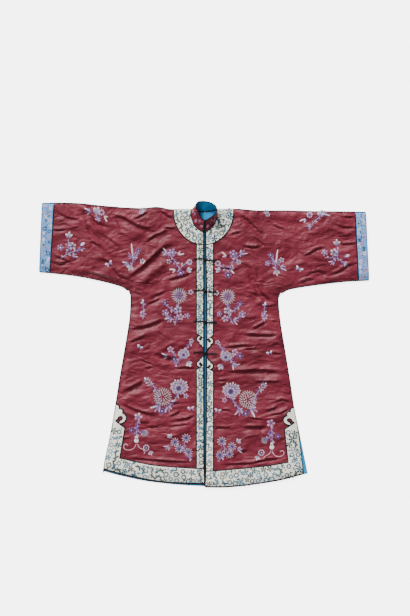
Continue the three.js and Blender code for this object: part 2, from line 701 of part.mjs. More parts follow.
// The back's lining, which shows at the neck, down the opening, below the hem and beside the right slit.
function lining() {
  const { seam, slit, arm, neck } = LINING_INSET;
  const steps = LINING_STEPS;
  const edge = (half) => {
    const armX = half.underarm.x - arm;
    const places = [
      [armX, LINING_TOP.arm],
      [armX, half.underarm.y],
    ];
    for (let y = half.underarm.y - steps.firstSide; y >= SLIT_TOP - SLIT_BLEND; y -= steps.side)
      places.push([read(half.frontSide, "y", y, "x") - seam, y]);
    const corner = half.backHem[half.backHem.length - 1];
    for (let y = SLIT_TOP - 2 * SLIT_BLEND; y > corner.y + SLIT_BLEND; y -= SLIT_BLEND)
      places.push([read(half.backSide, "y", y, "x") - slit, y]);
    for (let k = steps.hem; k > 0; k--) {
      const x = ((corner.x - slit) * k) / steps.hem;
      places.push([x, read(half.backHem, "x", x, "y") + slit]);
    }
    return places.map(([x, y]) => [half.side * x, y]);
  };
  const [from, to] = [180 + steps.neckEnds, 360 - steps.neckEnds];
  const scoop = arc(NECK.x, 0, NECK.rx, NECK.backDepth + neck, from, to, steps.neck);
  const neckEdge = scoop.map(([x, y]) => [x, Math.min(y, LINING_TOP.neck)]);
  const outline = [...neckEdge, ...edge(HALVES.right), ...edge(HALVES.left).reverse()];
  return toGeometry(prism(outline, SILK + GAP, SILK + GAP + LINING));
}

// A wall of the collar between two distances out from the surface through its sections.
function collarWall(low, high) {
  const base = new THREE.CatmullRomCurve3(
    COLLAR_SECTIONS.map((s) => new THREE.Vector3(s.baseX, s.baseY, s.baseZ)),
  );
  const top = new THREE.CatmullRomCurve3(
    COLLAR_SECTIONS.map((s) => new THREE.Vector3(s.topX, s.topY, s.baseZ + s.rise)),
  );
  const place = (u, v) => base.getPoint(u).lerp(top.getPoint(u), v);
  const pointAt = (_, column, row) => {
    const [u, v] = [column / COLLAR_CELLS.around, row / COLLAR_CELLS.up];
    const step = 0.01;
    const [u0, u1] = [Math.max(0, u - step), Math.min(1, u + step)];
    const round = place(u1, v).sub(place(u0, v));
    const up = place(u, 1).sub(place(u, 0));
    const p = place(u, v);
    return { at: [p.x, p.y, p.z], out: round.cross(up).normalize() };
  };
  const cells = block(0, COLLAR_CELLS.around, 0, COLLAR_CELLS.up);
  return wall({ side: 1 }, pointAt, cells, low, high);
}

// Colours
const material = (color, roughness) => new THREE.MeshStandardMaterial({ color, roughness, metalness: 0 });
const silk = material(0x8e2c38, 0.45);
const turquoise = material(0x0b86b0, 0.5);
const cream = material(0xe2dccb, 0.7);
const paleBlue = material(0x7fa8cc, 0.6);
const black = material(0x15131c, 0.6);

const jacket = new THREE.Group();
function add(name, geometry, finish) {
  geometry.computeVertexNormals();
  const mesh = new THREE.Mesh(geometry, finish);
  mesh.name = name;
  jacket.add(mesh);
}

add("lining_back", lining(), turquoise);
for (const [name, half] of Object.entries(HALVES)) {
  add(`body_${name}`, body(half), silk);
  add(`cuff_${name}`, cuff(half), paleBlue);
  const trims = {
    yoke: yoke(half),
    front_band_upper: frontBand(half, name, "upper"),
    front_band_lower: frontBand(half, name, "lower"),
    hem_trim: hemTrim(half, name),
  };
  for (const [trim, shape] of Object.entries(trims)) add(`${trim}_${name}`, ribbon(half, shape), cream);
  add(`piping_upper_${name}`, piping(half, [trims.yoke, trims.front_band_upper]), black);
  add(`piping_lower_${name}`, piping(half, [trims.hem_trim, trims.front_band_lower]), black);
  FROGS.forEach((frog, k) => add(`frog_${k + 1}_${name}`, frogArm(half, name, frog), black));
}
add("collar", collarWall(0, COLLAR), silk);
add("collar_lining", collarWall(-GAP - COLLAR_LINING, -GAP), turquoise);

// The origin is under the middle of the jacket's box, on the surface it lies on.
const box = new THREE.Box3().setFromObject(jacket);
const centre = box.getCenter(new THREE.Vector3());
jacket.position.set(-centre.x, -centre.y, -box.min.z);

export default jacket;
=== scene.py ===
import math
import random

import bpy
import numpy as np
from bpy.props import FloatProperty, FloatVectorProperty, IntProperty, PointerProperty
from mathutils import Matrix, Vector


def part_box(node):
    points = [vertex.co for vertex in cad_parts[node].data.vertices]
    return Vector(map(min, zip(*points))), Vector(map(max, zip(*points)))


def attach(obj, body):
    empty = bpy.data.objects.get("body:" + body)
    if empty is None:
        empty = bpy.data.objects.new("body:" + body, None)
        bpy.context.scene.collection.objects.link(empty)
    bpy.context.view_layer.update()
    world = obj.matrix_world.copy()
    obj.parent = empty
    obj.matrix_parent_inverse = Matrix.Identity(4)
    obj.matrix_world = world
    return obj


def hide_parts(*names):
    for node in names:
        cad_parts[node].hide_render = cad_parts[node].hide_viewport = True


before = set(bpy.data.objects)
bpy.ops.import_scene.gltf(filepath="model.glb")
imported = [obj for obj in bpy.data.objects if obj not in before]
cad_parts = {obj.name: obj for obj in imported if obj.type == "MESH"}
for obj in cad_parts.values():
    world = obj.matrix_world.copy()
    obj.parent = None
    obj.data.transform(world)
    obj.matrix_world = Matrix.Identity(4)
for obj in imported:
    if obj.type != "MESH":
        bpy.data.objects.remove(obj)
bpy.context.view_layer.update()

bl_info = {
    "name": "Chinese Jacket Laid Flat",
    "version": (1, 0, 0),
    "blender": (4, 5, 0),
    "location": "3D View > Sidebar > Jacket",
    "description": "Makes an embroidered silk jacket that lies flat",
    "category": "Object",
}

MM = 0.001
BODY = "root"

# Thicknesses, and heights of the middle of the front cloth
SILK = 1.2
LINING = 1.0
GAP = 0.3
RIBBON = 1.0
LOWEST = SILK + GAP + LINING + 2 * GAP + SILK / 2
SEAM_LEVEL = SILK + GAP + SILK / 2
FREE_LEVEL = 3.8
FOLD_LEVEL = 5
FOLD_RADIUS = 3
ROLL = {"seam": 30, "fold": 16, "free": 24}
SLIT_TOP = -800
SLIT_BLEND = 50
ON_CLOTH = SILK / 2
ON_RIBBON = ON_CLOTH + RIBBON

# The lining: how far it stops short of the cloth's edges, its upper edge as rows of x, y, and its area
LINING_INSET = {"seam": 26, "slit": 0.8, "arm": 26, "neck": 2.5}
LINING_TOP = ((50, -9), (280, -24))
LINING_AREA = (-416, 416, -1116, -6)
LINING_CELL = 10

# x, y, half width and half height of the neck hole's front scoop and of the yoke
NECK = (-4, -16, 54, 77)
NECK_BACK_DEPTH = 15
YOKE = (-5.6, -14, 118, 131)

# The pattern of each half: opening and sides are rows of y, x; hems of x, y; the sleeve of x, top, bottom
HALVES = {
    "left": {
        "side": -1,
        "opening": ((-1104, 2), (-1000, 5), (-600, 6), (-90, 6), (30, 6)),
        "front_side": (
            (-1060, 408), (-1008, 400), (-944, 386), (-880, 373), (-800, 359.5), (-688, 342),
            (-592, 325.5), (-496, 309), (-432, 300), (-360, 297), (-344, 299), (-331, 306),
        ),
        "back_side": ((-1060, 411), (-880, 373), (-800, 359.5)),
        "front_hem": ((0, -1104), (117, -1101), (206, -1092), (317, -1070), (405, -1046)),
        "back_hem": ((0, -1113), (108, -1107), (236, -1092), (340, -1070), (409, -1052)),
        "underarm": (306, -331),
        "sleeve": (
            (0, -4, -331), (108, -4, -331), (140, -6, -331), (190, 3, -331), (250, -2, -331),
            (306, 0, -331), (328, 1, -317), (360, 4, -306), (420, 9, -291), (492, 17, -276),
            (564, 20, -266), (663, 18.5, -256),
        ),
        "cuff_seam": (620, 603),
        "cuff_edge": (663, 652),
    },
    "right": {
        "side": 1,
        "opening": ((-1117, 1), (-1020, 4), (-820, 6), (-400, 8), (-150, 4), (30, 3)),
        "front_side": (
            (-1066, 394), (-976, 383), (-876, 370), (-800, 356), (-688, 339), (-560, 318),
            (-496, 307), (-432, 298), (-372, 293), (-354, 295), (-341, 303),
        ),
        "back_side": ((-1066, 412), (-876, 373), (-800, 356)),
        "front_hem": ((0, -1117), (84, -1117), (180, -1108), (308, -1087), (394, -1064)),
        "back_hem": ((0, -1113), (100, -1111), (200, -1102), (310, -1084), (409, -1062)),
        "underarm": (303, -341),
        "sleeve": (
            (0, -4, -341), (116, -3, -341), (160, -7, -341), (212, -11, -341), (303, -11, -341),
            (328, -11, -329), (360, -12, -321), (436, -14, -309), (556, -15, -295), (656, -17, -289),
        ),
        "cuff_seam": (613, 600),
        "cuff_edge": (656, 643),
    },
}

# The largest folds, x from the viewer's left: x1, y1, x2, y2, half width, height
FOLDS = (
    (-520, -22, -375, -98, 20, 7), (-370, -52, -190, -122, 22, 7), (-600, -32, -490, -76, 18, 4.5),
    (-400, -140, -330, -196, 18, 4), (-130, -178, -295, -306, 22, 7), (-118, -104, -225, -146, 20, 5),
    (-430, -214, -335, -290, 20, 4.5), (-64, -280, -150, -312, 20, 4), (-160, -472, -300, -506, 20, 6),
    (-150, -350, -226, -402, 20, 4), (-212, -596, -112, -636, 20, 6), (-246, -722, -344, -768, 20, 6),
    (-350, -794, -172, -862, 18, 5.5), (-50, -856, -142, -886, 20, 4), (-296, -1012, -50, -1046, 16, 3.5),
    (134, -34, 236, -124, 22, 7), (150, -232, 218, -362, 24, 6.5), (200, -350, 286, -396, 20, 6),
    (380, -312, 580, -256, 20, 6.5), (500, -66, 596, -100, 18, 5), (440, -172, 600, -162, 22, 4.5),
    (190, -496, 300, -524, 20, 6), (150, -568, 240, -578, 18, 3.5), (158, -668, 322, -680, 22, 6),
    (240, -842, 346, -800, 20, 4.5), (146, -894, 256, -898, 20, 6),
)
RIDGE = (-0.6, 1.6, 0.8)  # where it stands across a fold, how sharp it is and how high
TROUGH = (0.7, 2.2, 0.5)
FOLD_ENDS = 0.3

# The same for a crease, which keeps a share of its depth at its very ends
CREASE_RIDGE = (1.5, 1.1, 0.85)
CREASE_TROUGH = (-0.3, 1.4, 0.75)
CREASE_END_SHARE = 0.15
CREASE_WIDTH = 0.78
# Creases pressed into the front: half width, depth, then the points that each one runs through
CREASES = (
    (7, 1.6, (-596, -16), (-556, -40), (-504, -52)),
    (10, 2.6, (-512, -4), (-468, -24), (-436, -64), (-388, -80)),
    (10, 2.8, (-372, -28), (-320, -48), (-276, -76), (-208, -96)),
    (7, 1.8, (-184, -8), (-148, -36), (-128, -44)),
    (6, 1.6, (-164, -80), (-116, -84)),
    (6, 1.3, (-288, -48), (-260, -36), (-220, -12)),
    (7, 1.8, (-232, -136), (-196, -112), (-144, -92)),
    (10, 3.0, (-300, -280), (-244, -240), (-196, -192), (-160, -160), (-128, -152)),
    (8, 1.8, (-152, -292), (-104, -280), (-52, -264)),
    (6, 1.3, (-608, -92), (-552, -88)),
    (8, 1.7, (-408, -108), (-372, -136), (-340, -160)),
    (6, 1.3, (-464, -132), (-420, -156)),
    (7, 1.6, (-612, -216), (-580, -228), (-540, -216)),
    (6, 1.4, (-608, -192), (-560, -208), (-528, -228)),
    (7, 1.7, (-484, -256), (-428, -268), (-364, -288)),
    (8, 1.9, (-428, -200), (-392, -216), (-348, -272), (-300, -288)),
    (9, -1.8, (-488, -40), (-464, -108), (-408, -152), (-364, -192)),
    (8, -1.5, (-364, -44), (-340, -92), (-300, -112)),
    (7, 1.5, (-204, -356), (-156, -336)),
    (7, 1.6, (-232, -388), (-172, -364)),
    (6, 1.2, (-300, -328), (-252, -352)),
    (4, 0.9, (-288, -296), (-204, -304)),
    (9, 2.4, (-292, -488), (-232, -476), (-164, -452)),
    (7, 1.7, (-308, -544), (-276, -528), (-232, -512)),
    (4, 0.9, (-204, -484), (-144, -524)),
    (10, 2.6, (-204, -580), (-180, -596), (-144, -604), (-116, -604)),
    (4, 1.0, (-284, -596), (-188, -636)),
    (6, 1.2, (-240, -644), (-204, -636)),
    (6, 1.4, (-124, -644), (-84, -640), (-36, -644)),
    (10, 2.5, (-320, -736), (-280, -716), (-240, -696)),
    (9, 2.4, (-340, -784), (-280, -812), (-240, -824), (-188, -836)),
    (6, 1.4, (-144, -836), (-96, -816)),
    (7, 2.0, (-124, -852), (-72, -844), (-40, -832)),
    (6, 1.4, (-148, -876), (-52, -864)),
    (6, 1.3, (-236, -876), (-180, -876)),
    (6, 1.2, (-164, -916), (-144, -924)),
    (6, 1.5, (-316, -1000), (-180, -1012), (-40, -1020)),
    (5, 1.1, (-332, -924), (-296, -920)),
    (6, 1.3, (-136, -784), (-100, -780)),
    (10, 3.0, (132, -24), (168, -52), (204, -88), (228, -112)),
    (4, 1.1, (192, -112), (248, -160)),
    (7, 1.7, (144, -152), (192, -160), (228, -156)),
    (11, 3.0, (156, -228), (180, -244), (192, -288), (216, -336), (244, -368), (284, -384)),
    (6, 1.4, (180, -336), (228, -364)),
    (6, 1.4, (100, -108), (148, -96)),
    (7, 1.8, (512, -64), (552, -80), (596, -80)),
    (6, 1.4, (548, -36), (596, -40)),
    (6, 1.3, (264, -68), (316, -88)),
    (7, 1.7, (396, -196), (452, -164), (484, -160)),
    (6, 1.5, (536, -148), (604, -144)),
    (8, 2.0, (492, -276), (540, -256), (572, -232), (604, -224)),
    (7, 1.6, (372, -304), (408, -288), (444, -288)),
    (6, 1.4, (416, -264), (456, -252), (484, -268)),
    (6, 1.3, (52, -240), (136, -252)),
    (6, 1.5, (244, -396), (288, -388)),
    (5, 1.0, (264, -456), (292, -452)),
    (7, 1.7, (188, -488), (248, -456)),
    (9, 2.6, (148, -508), (228, -512), (304, -512)),
    (7, 1.7, (76, -560), (156, -552), (196, -556)),
    (6, 1.4, (152, -568), (212, -564)),
    (6, 1.3, (276, -544), (308, -544)),
    (6, 1.3, (264, -584), (312, -584)),
    (11, 2.8, (88, -660), (192, -656), (248, -656), (308, -664)),
    (6, 1.4, (48, -692), (96, -688)),
    (6, 1.5, (192, -696), (256, -696), (308, -696)),
    (7, 1.6, (272, -780), (308, -768), (348, -776)),
    (7, 1.7, (244, -816), (292, -796)),
    (7, 1.8, (248, -832), (300, -824), (344, -800)),
    (6, 1.3, (60, -812), (88, -808), (112, -820)),
    (6, 1.4, (172, -840), (232, -848)),
    (6, 1.4, (36, -880), (100, -880)),
    (9, 2.6, (148, -880), (248, -880)),
    (6, 1.3, (232, -1004), (300, -1004)),
    (9, 1.4, (144, -976), (168, -976)),
    (6, 1.4, (60, -1030), (180, -1022), (300, -1000)),
)

# Frogs: y of the left and right arms, and the height above the cloth's middle that their cords lie on
FROGS = ((-204, -209, ON_RIBBON), (-330, -335, ON_RIBBON), (-453, -458, ON_RIBBON), (-576, -583, ON_CLOTH))
FROG_REACH = 47
FROG_CORD = 1.3  # radius
KNOT = (4.6, 4.4, 3.6)  # half sizes
KNOT_LEVEL = 8.2
FROG_END = (3, 1.7)  # how far in from its reach the cord starts to turn back, and how far the turn stands out
FROG_LOOP = 0.8  # how far the loop stands clear of the knot

# Front bands: their outer edge, and the shoulder and length factor of the upper and the lower cloud head
FRONT_BAND = {
    "left": (32, (-501, 1.0), (-645, 0.95)),
    "right": (31.5, (-507, 1.1), (-654, 0.95)),
}
# Hem ribbons: their upper edge as rows of x, y, the shoulder of the slit's cloud head and its length factor
HEM_TRIM = {
    "left": (((-10, -1044), (33, -1043), (206, -1030), (343, -1001)), (322, -879), 1.66),
    "right": (((-10, -1054), (31, -1053), (246, -1033), (334, -1018)), (320, -884), 1.52),
}
JOIN = 4.0  # what is left between ribbons for the piping
PIPING = {"width": 5.4, "height": 2.1}
# Edging: half widths, how far it lies from the cloth's edge, its height for its width and its level
# The top cord along the shoulder fold is not a binding: it is a dark line of painted shade
EDGE_CORD = {"opening": 3.2, "side": 2.4, "sleeve": 2.6, "hem": 4.0, "cuff": 2.6, "end": 1.7, "top": 2.2}
EDGE_INSET = {"opening": -0.2, "side": 0.8, "sleeve": 0.8, "hem": 2.8, "cuff": 0.2, "end": 1.0, "top": 0.6}
EDGE_FLATNESS = 0.7
EDGE_LEVEL = 0.3
CORD_SIDES = 8

# A cloud head on a ribbon 28 wide: u out from the straight edge, v towards the tip. Lobes are u, v, ru, rv.
HEAD_WIDTH = 28
HEAD_OUTLINE = ((28, -2), (27, 0), (5, 16), (5.5, 23), (10, 37.5), (2, 46.5))
HEAD_LOBES = {
    "curl": (16, 23, 11.5, 11.5),
    "eye": (15, 23, 6, 6),
    "mouth": (10.5, 16, 5, 6),
    "middle": (10, 37.5, 8, 7.5),
    "tip": (2, 46.5, 6.5, 8.5),
}
HEAD_FROM = -3
FAR_INSIDE = -20

# Collar, from its right front end round the back to its left: base x, y, z, then top x, y and the rise
COLLAR = (
    (-1.6, -92, 6, 1.6, -51, 19), (18, -85, 6, 17, -43, 20), (36, -65.5, 6, 31, -34, 31),
    (45.5, -38, 6, 43, -24, 40), (47.8, -16, 5.5, 47, -9, 42), (43.5, -6.5, 3.4, 41, 6, 41),
    (25, -11.3, 2, 26, 18, 31), (-4, -13.8, 2, 2, 25, 20), (-33, -11.3, 2, -25, 24, 22),
    (-51.5, -6.5, 3.4, -35, 14, 30), (-56, -18, 5.5, -35, 2, 30), (-53, -40, 6, -28, -14, 25),
    (-42.6, -67.6, 6, -22, -30, 19), (-25, -85.3, 6, -13, -43, 17), (-6.4, -92, 6, -2.4, -51, 19),
)
COLLAR_WALL = 1.6
COLLAR_LINING = 1.0
COLLAR_CELLS = (96, 10)  # round it and up it
COLLAR_CORDS = {"collar_edging": 2.1, "collar_seam": 2.4, "neck_seam": 2.0}  # radii
NECK_SEAM_SPAN = (0.3, 0.7)  # the share of the way round where the seam shows inside
COLLAR_FIGURES = (14, 322, 19.0, 12.5)  # first and last place, distance apart and size
COLLAR_FACE = (330.0, 38.0)  # length and height that the figures are drawn on

# The stage, in metres: its floor, how far the camera sees, and where each light shines from with its spread
# in degrees. The picture's middle is a y of the pattern.
FLOOR_HALF = 30
FLOOR_LEVEL = -0.0005
FLOOR_COLOUR = (0.92, 0.92, 0.92)
WHITE_LIGHT = (1.0, 1.0, 1.0)
VIEW_FAR = 60
LIGHTS = {"key": ((-1.1, 2.7, 1.5), 14), "gloss": ((-1.9, 0.8, 2.4), 24)}
PICTURE_MIDDLE = -400


def place_of_pattern():
    """Where the pattern's own origin lies in the frame, from a frog whose place in the pattern is known."""
    low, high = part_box("frog_1_right")
    return (high.x / MM - FROG_REACH, (low.y + high.y) / 2 / MM - FROGS[0][1])


ORIGIN = place_of_pattern()
NECK_POINT = (ORIGIN[1] + NECK[1] - NECK[3]) * MM  # y of the neck's lowest point in the frame, in metres


def linear(red, green, blue):
    """A colour given in screen values from 0 to 255, as the linear values that Blender uses."""
    screen = [value / 255 for value in (red, green, blue)]
    return tuple(v / 12.92 if v < 0.04045 else ((v + 0.055) / 1.055) ** 2.4 for v in screen)


def opaque(colour):
    """A colour with full alpha."""
    return (*colour, 1.0)


# Sizes and colours that a user would change


def length_setting(name, description, millimetres):
    """A setting for a length."""
    return FloatProperty(name=name, description=description, default=millimetres * MM, unit="LENGTH")


def factor_setting(name, description, default):
    """A setting for a plain number."""
    return FloatProperty(name=name, description=description, default=default)


def colour_setting(name, description, *screen):
    """A setting for a colour, given in screen values from 0 to 255."""
    return FloatVectorProperty(name=name, description=description, subtype="COLOR", default=linear(*screen))


class ClothSettings(bpy.types.PropertyGroup):
    """Sizes of the cloth."""

    cell: length_setting("Cell", "Size of the cloth's mesh cells", 4)
    ribbon_cell: length_setting("Ribbon cell", "Size of the ribbons' mesh cells", 2.5)
    loft: length_setting("Loft", "Height of the front cloth above the surface, away from its edges", 7.6)
    crease: factor_setting("Crease depth", "Factor on the depth of every crease", 3.1)
    fold: factor_setting("Fold height", "Factor on the height of every large fold", 1.0)


class ColourSettings(bpy.types.PropertyGroup):
    """Colours of the cloths and cords."""

    silk: colour_setting("Silk", "Colour of the jacket's silk", 122, 31, 51)
    silk_deep: colour_setting("Deep silk", "Colour of the silk where its dye took best", 101, 21, 38)
    lining: colour_setting("Lining", "Colour of the lining", 6, 142, 196)
    cuff: colour_setting("Cuffs", "Colour of the cuff bands", 99, 168, 236)
    ribbon: colour_setting("Ribbon", "Colour of the ribbons", 255, 250, 233)
    cord: colour_setting("Cord", "Colour of the frogs and piping", 12, 12, 26)


class StitchSettings(bpy.types.PropertyGroup):
    """Sizes of the embroidery."""

    height: length_setting("Thread height", "How far the thread stands up", 0.7)
    seed: IntProperty(name="Seed", description="Seed of the small figures' places on the ribbons", default=7)


class StageSettings(bpy.types.PropertyGroup):
    """The floor, lights and camera."""

    camera_height: length_setting("Camera height", "Height of the camera", 7000)
    view_height: length_setting("View height", "Length of floor that the picture shows", 2464)
    key: factor_setting("Key light", "Strength of the low light from beyond the collar", 6.6)
    gloss: factor_setting("Gloss light", "Strength of the higher light for the satin", 1.0)
    sky: factor_setting("Sky", "Strength of the light from all round", 0.28)
    glow: factor_setting("Floor glow", "Strength of the floor's own soft light", 4.5)


# Curves and distances, all over arrays of places


def read(table, at, column=1):
    """A smooth curve through a table's rows, read at some values of the first column."""
    rows = np.array(table, float)
    keys, values = rows[:, 0], rows[:, column]
    last = len(keys) - 1
    at = np.clip(at, keys[0], keys[-1])
    k = np.clip(np.searchsorted(keys, at, side="left") - 1, 0, last - 1)
    n = np.arange(last + 1)
    before, after = np.maximum(n - 1, 0), np.minimum(n + 1, last)
    slope = (values[after] - values[before]) / (keys[after] - keys[before])
    span = keys[k + 1] - keys[k]
    t = (at - keys[k]) / span
    straight = values[k] + (values[k + 1] - values[k]) * t * t * (3 - 2 * t)
    return straight + t * (1 - t) * span * ((1 - t) * slope[k] - t * slope[k + 1])


def smoothstep(x, low, high):
    """0 below low, 1 above high and an easy curve between."""
    t = np.clip((x - low) / (high - low), 0, 1)
    return t * t * (3 - 2 * t)


def mix(a, b, share):
    return a + (b - a) * share


def direction(degrees):
    """x and y of a step of 1 at an angle."""
    return math.cos(math.radians(degrees)), math.sin(math.radians(degrees))


def ellipse_distance(x, y, oval):
    """Distance out from an ellipse of centre and half sizes, below 0 inside."""
    cx, cy, rx, ry = oval
    near = np.hypot((x - cx) / rx, (y - cy) / ry)
    steep = np.hypot((x - cx) / rx**2, (y - cy) / ry**2)
    return near * (near - 1) / np.maximum(steep, 1e-9)


def polygon_distance(x, y, corners):
    """Distance out from a polygon, below 0 inside."""
    nearest = np.full(np.shape(x), 1e9)
    inside = np.zeros(np.shape(x), bool)
    for (ax, ay), (bx, by) in zip(corners, corners[1:] + corners[:1]):
        dx, dy = bx - ax, by - ay
        t = np.clip(((x - ax) * dx + (y - ay) * dy) / (dx * dx + dy * dy), 0, 1)
        nearest = np.minimum(nearest, np.hypot(x - ax - t * dx, y - ay - t * dy))
        if ay != by:
            crosses = ((ay > y) != (by > y)) & (x < ax + (y - ay) * dx / dy)
            inside ^= crosses
    return np.where(inside, -nearest, nearest)


def neck_distance(x, y):
    """Distance out from the neck hole in the front layer, x from the viewer's left."""
    cx, cy, rx, _ = NECK
    return np.where(y > cy, np.abs(x - cx) - rx, ellipse_distance(x, y, NECK))


def edge_distances(half, x, y):
    """How far places in the front are from the fold, the seams or slit, the hem and the opening."""
    top = read(half["sleeve"], x, 1) - y
    arm_x, arm_y = half["underarm"]
    on_sleeve = np.maximum(y - read(half["sleeve"], x, 2), arm_x - x)
    seam = np.where(y < arm_y, read(half["front_side"], y) - x, on_sleeve)
    hem = y - read(half["front_hem"], x)
    opening = x - read(half["opening"], y)
    return top, seam, hem, opening


def swell(across, at, sharpness, rise):
    """A soft hump at a place across a fold."""
    return rise * np.exp(-((across - at) ** 2) * sharpness)


def eased_ends(along):
    """1 over the length of a fold, easing to 0 at both ends."""
    return smoothstep(along, 0, FOLD_ENDS) * smoothstep(1 - along, 0, FOLD_ENDS)


def fold_height(fold, x, y):
    """Height of a large fold: a ridge with a shallower trough along its upper side."""
    x1, y1, x2, y2, width, height = fold
    dx, dy = x2 - x1, y2 - y1
    length = math.hypot(dx, dy)
    along = ((x - x1) * dx + (y - y1) * dy) / length**2
    across = math.copysign(1, dx) * ((y - y1) * dx - (x - x1) * dy) / length / width
    return height * eased_ends(along) * (swell(across, *RIDGE) - swell(across, *TROUGH))


def crease_height(crease, x, y):
    """Height of a crease: a soft trough with the cloth thrown up along its upper side."""
    width, depth, *path = crease
    width *= CREASE_WIDTH
    path = np.array(path, float)
    result = np.zeros(np.shape(x))
    reach = 4 * width
    low, high = path.min(0) - reach, path.max(0) + reach
    near = (x > low[0]) & (x < high[0]) & (y > low[1]) & (y < high[1])
    if not near.any():
        return result
    px, py = x[near], y[near]
    lengths = np.hypot(*np.diff(path, axis=0).T)
    nearest = np.full(px.shape, 1e9)
    across = np.zeros(px.shape)
    along = np.zeros(px.shape)
    run = 0.0
    for (ax, ay), (bx, by), length in zip(path, path[1:], lengths):
        dx, dy = (bx - ax) / length, (by - ay) / length
        t = np.clip((px - ax) * dx + (py - ay) * dy, 0, length)
        gap = np.hypot(px - ax - t * dx, py - ay - t * dy)
        closer = gap < nearest
        turned = np.sign(dx if dx else 1) * ((py - ay) * dx - (px - ax) * dy)
        nearest = np.where(closer, gap, nearest)
        across = np.where(closer, np.sign(turned) * gap / width, across)
        along = np.where(closer, (run + t) / lengths.sum(), along)
        run += length
    ends = mix(CREASE_END_SHARE, 1, eased_ends(along))
    result[near] = depth * ends * (swell(across, *CREASE_RIDGE) - swell(across, *CREASE_TROUGH))
    return result


def ripple(x, y):
    """A slight unevenness of cloth that was worn, in mm."""
    wide = np.sin(x / 61 + 1.3 * np.sin(y / 83)) * np.cos(y / 71 + 0.9 * np.sin(x / 97))
    narrow = np.sin(x / 23 + 1.1 * np.sin(y / 37)) * np.sin(y / 19 + 1.7 * np.sin(x / 41))
    return 0.55 * wide + 0.16 * narrow


def front_height(half, x, y):
    """Height of the middle of the front cloth."""
    cloth = bpy.context.scene.jacket_cloth
    x, y = np.asarray(x, float), np.asarray(y, float)
    top, seam, hem, opening = edge_distances(half, x, y)
    shown = half["side"] * x
    z = np.full(x.shape, cloth.loft / MM) + ripple(shown, y)
    for fold in FOLDS:
        z += cloth.fold * fold_height(fold, shown, y)
    for crease in CREASES:
        z += cloth.crease * crease_height(crease, shown, y)
    z = np.where(z < LOWEST + 1, LOWEST + np.exp(np.minimum(z - LOWEST - 1, 0)), z)
    slit = smoothstep(SLIT_TOP - y, 0, SLIT_BLEND)
    z = mix(FOLD_LEVEL, z, smoothstep(top, 0, ROLL["fold"]))
    z = mix(FREE_LEVEL, z, smoothstep(hem, 0, ROLL["free"]))
    z = mix(FREE_LEVEL, z, smoothstep(opening, 0, ROLL["free"]))
    seam_level = mix(SEAM_LEVEL, FREE_LEVEL, slit)
    return mix(seam_level, z, smoothstep(seam / mix(ROLL["seam"], ROLL["free"], slit), 0, 1))


def shown_height(x, y):
    """Height of the middle of the front cloth at places given from the viewer's left."""
    x, y = np.asarray(x, float), np.asarray(y, float)
    left = front_height(HALVES["left"], -x, y)
    right = front_height(HALVES["right"], x, y)
    return np.where(x < 0, left, right)


# Meshes


def grid(x_from, x_to, y_from, y_to, cell):
    """Places and square faces of a flat grid."""
    nx, ny = math.ceil((x_to - x_from) / cell), math.ceil((y_to - y_from) / cell)
    xs, ys = np.linspace(x_from, x_to, nx + 1), np.linspace(y_from, y_to, ny + 1)
    x, y = np.meshgrid(xs, ys)
    return np.column_stack([x.ravel(), y.ravel()]), grid_faces(nx, ny)


def grid_faces(nx, ny, exists=None):
    """Faces between ny + 1 rows of nx + 1 points. exists says whether a column and row has its cell."""
    faces = []
    for r in range(ny):
        for c in range(nx):
            if exists is None or exists(c, r):
                first = r * (nx + 1) + c
                faces.append((first, first + 1, first + nx + 2, first + nx + 1))
    return faces


def cut(points, faces, field):
    """The part of a mesh where the field is below 0, with new corners where its edges cross 0."""
    inside = field < 0
    added, crossings, kept = [], {}, []

    def crossing(a, b):
        key = (min(a, b), max(a, b))
        if key not in crossings:
            share = field[key[0]] / (field[key[0]] - field[key[1]])
            added.append(mix(points[key[0]], points[key[1]], share))
            crossings[key] = len(points) + len(added) - 1
        return crossings[key]

    for face in faces:
        here = inside[list(face)]
        if here.all():
            kept.append(face)
        elif here.any():
            outline = []
            for k, a in enumerate(face):
                b = face[(k + 1) % len(face)]
                if inside[a]:
                    outline.append(a)
                if inside[a] != inside[b]:
                    outline.append(crossing(a, b))
            kept.append(tuple(outline))
    return tidy(np.vstack([points, added]) if added else points, kept)


def tidy(points, faces):
    """The same mesh without the points that no face uses."""
    used = np.unique([v for face in faces for v in face])
    number = np.zeros(len(points), int)
    number[used] = np.arange(len(used))
    return points[used], [tuple(number[list(face)]) for face in faces]


def outward(points, faces):
    """The direction in which the mesh faces at each of its points."""
    corners = np.array([(f[0], f[k], f[k + 1]) for f in faces for k in range(1, len(f) - 1)])
    a, b, c = (points[corners[:, k]] for k in range(3))
    turned = np.cross(b - a, c - a)
    total = np.zeros(points.shape)
    for k in range(3):
        np.add.at(total, corners[:, k], turned)
    return total / np.maximum(np.linalg.norm(total, axis=1), 1e-12)[:, None]


def thicken(points, faces, low, high):
    """A closed wall between two distances out from a surface. high may differ from point to point."""
    out = outward(points, faces)
    count = len(points)
    upper = points + out * np.reshape(high, (-1, 1))
    lower = points + out * low
    edges = {(a, b) for face in faces for a, b in zip(face, face[1:] + face[:1])}
    rims = [(b, a, a + count, b + count) for a, b in edges if (b, a) not in edges]
    under = [tuple(v + count for v in reversed(face)) for face in faces]
    return np.vstack([upper, lower]), list(faces) + under + sorted(rims)


def ring_faces(count, sides):
    """Faces of a closed tube made of rings of points, with its two ends."""
    faces = []
    for k in range(count - 1):
        for s in range(sides):
            a, b = k * sides + s, k * sides + (s + 1) % sides
            faces.append((a, b, b + sides, a + sides))
    faces.append(tuple(reversed(range(sides))))
    faces.append(tuple(range((count - 1) * sides, count * sides)))
    return faces


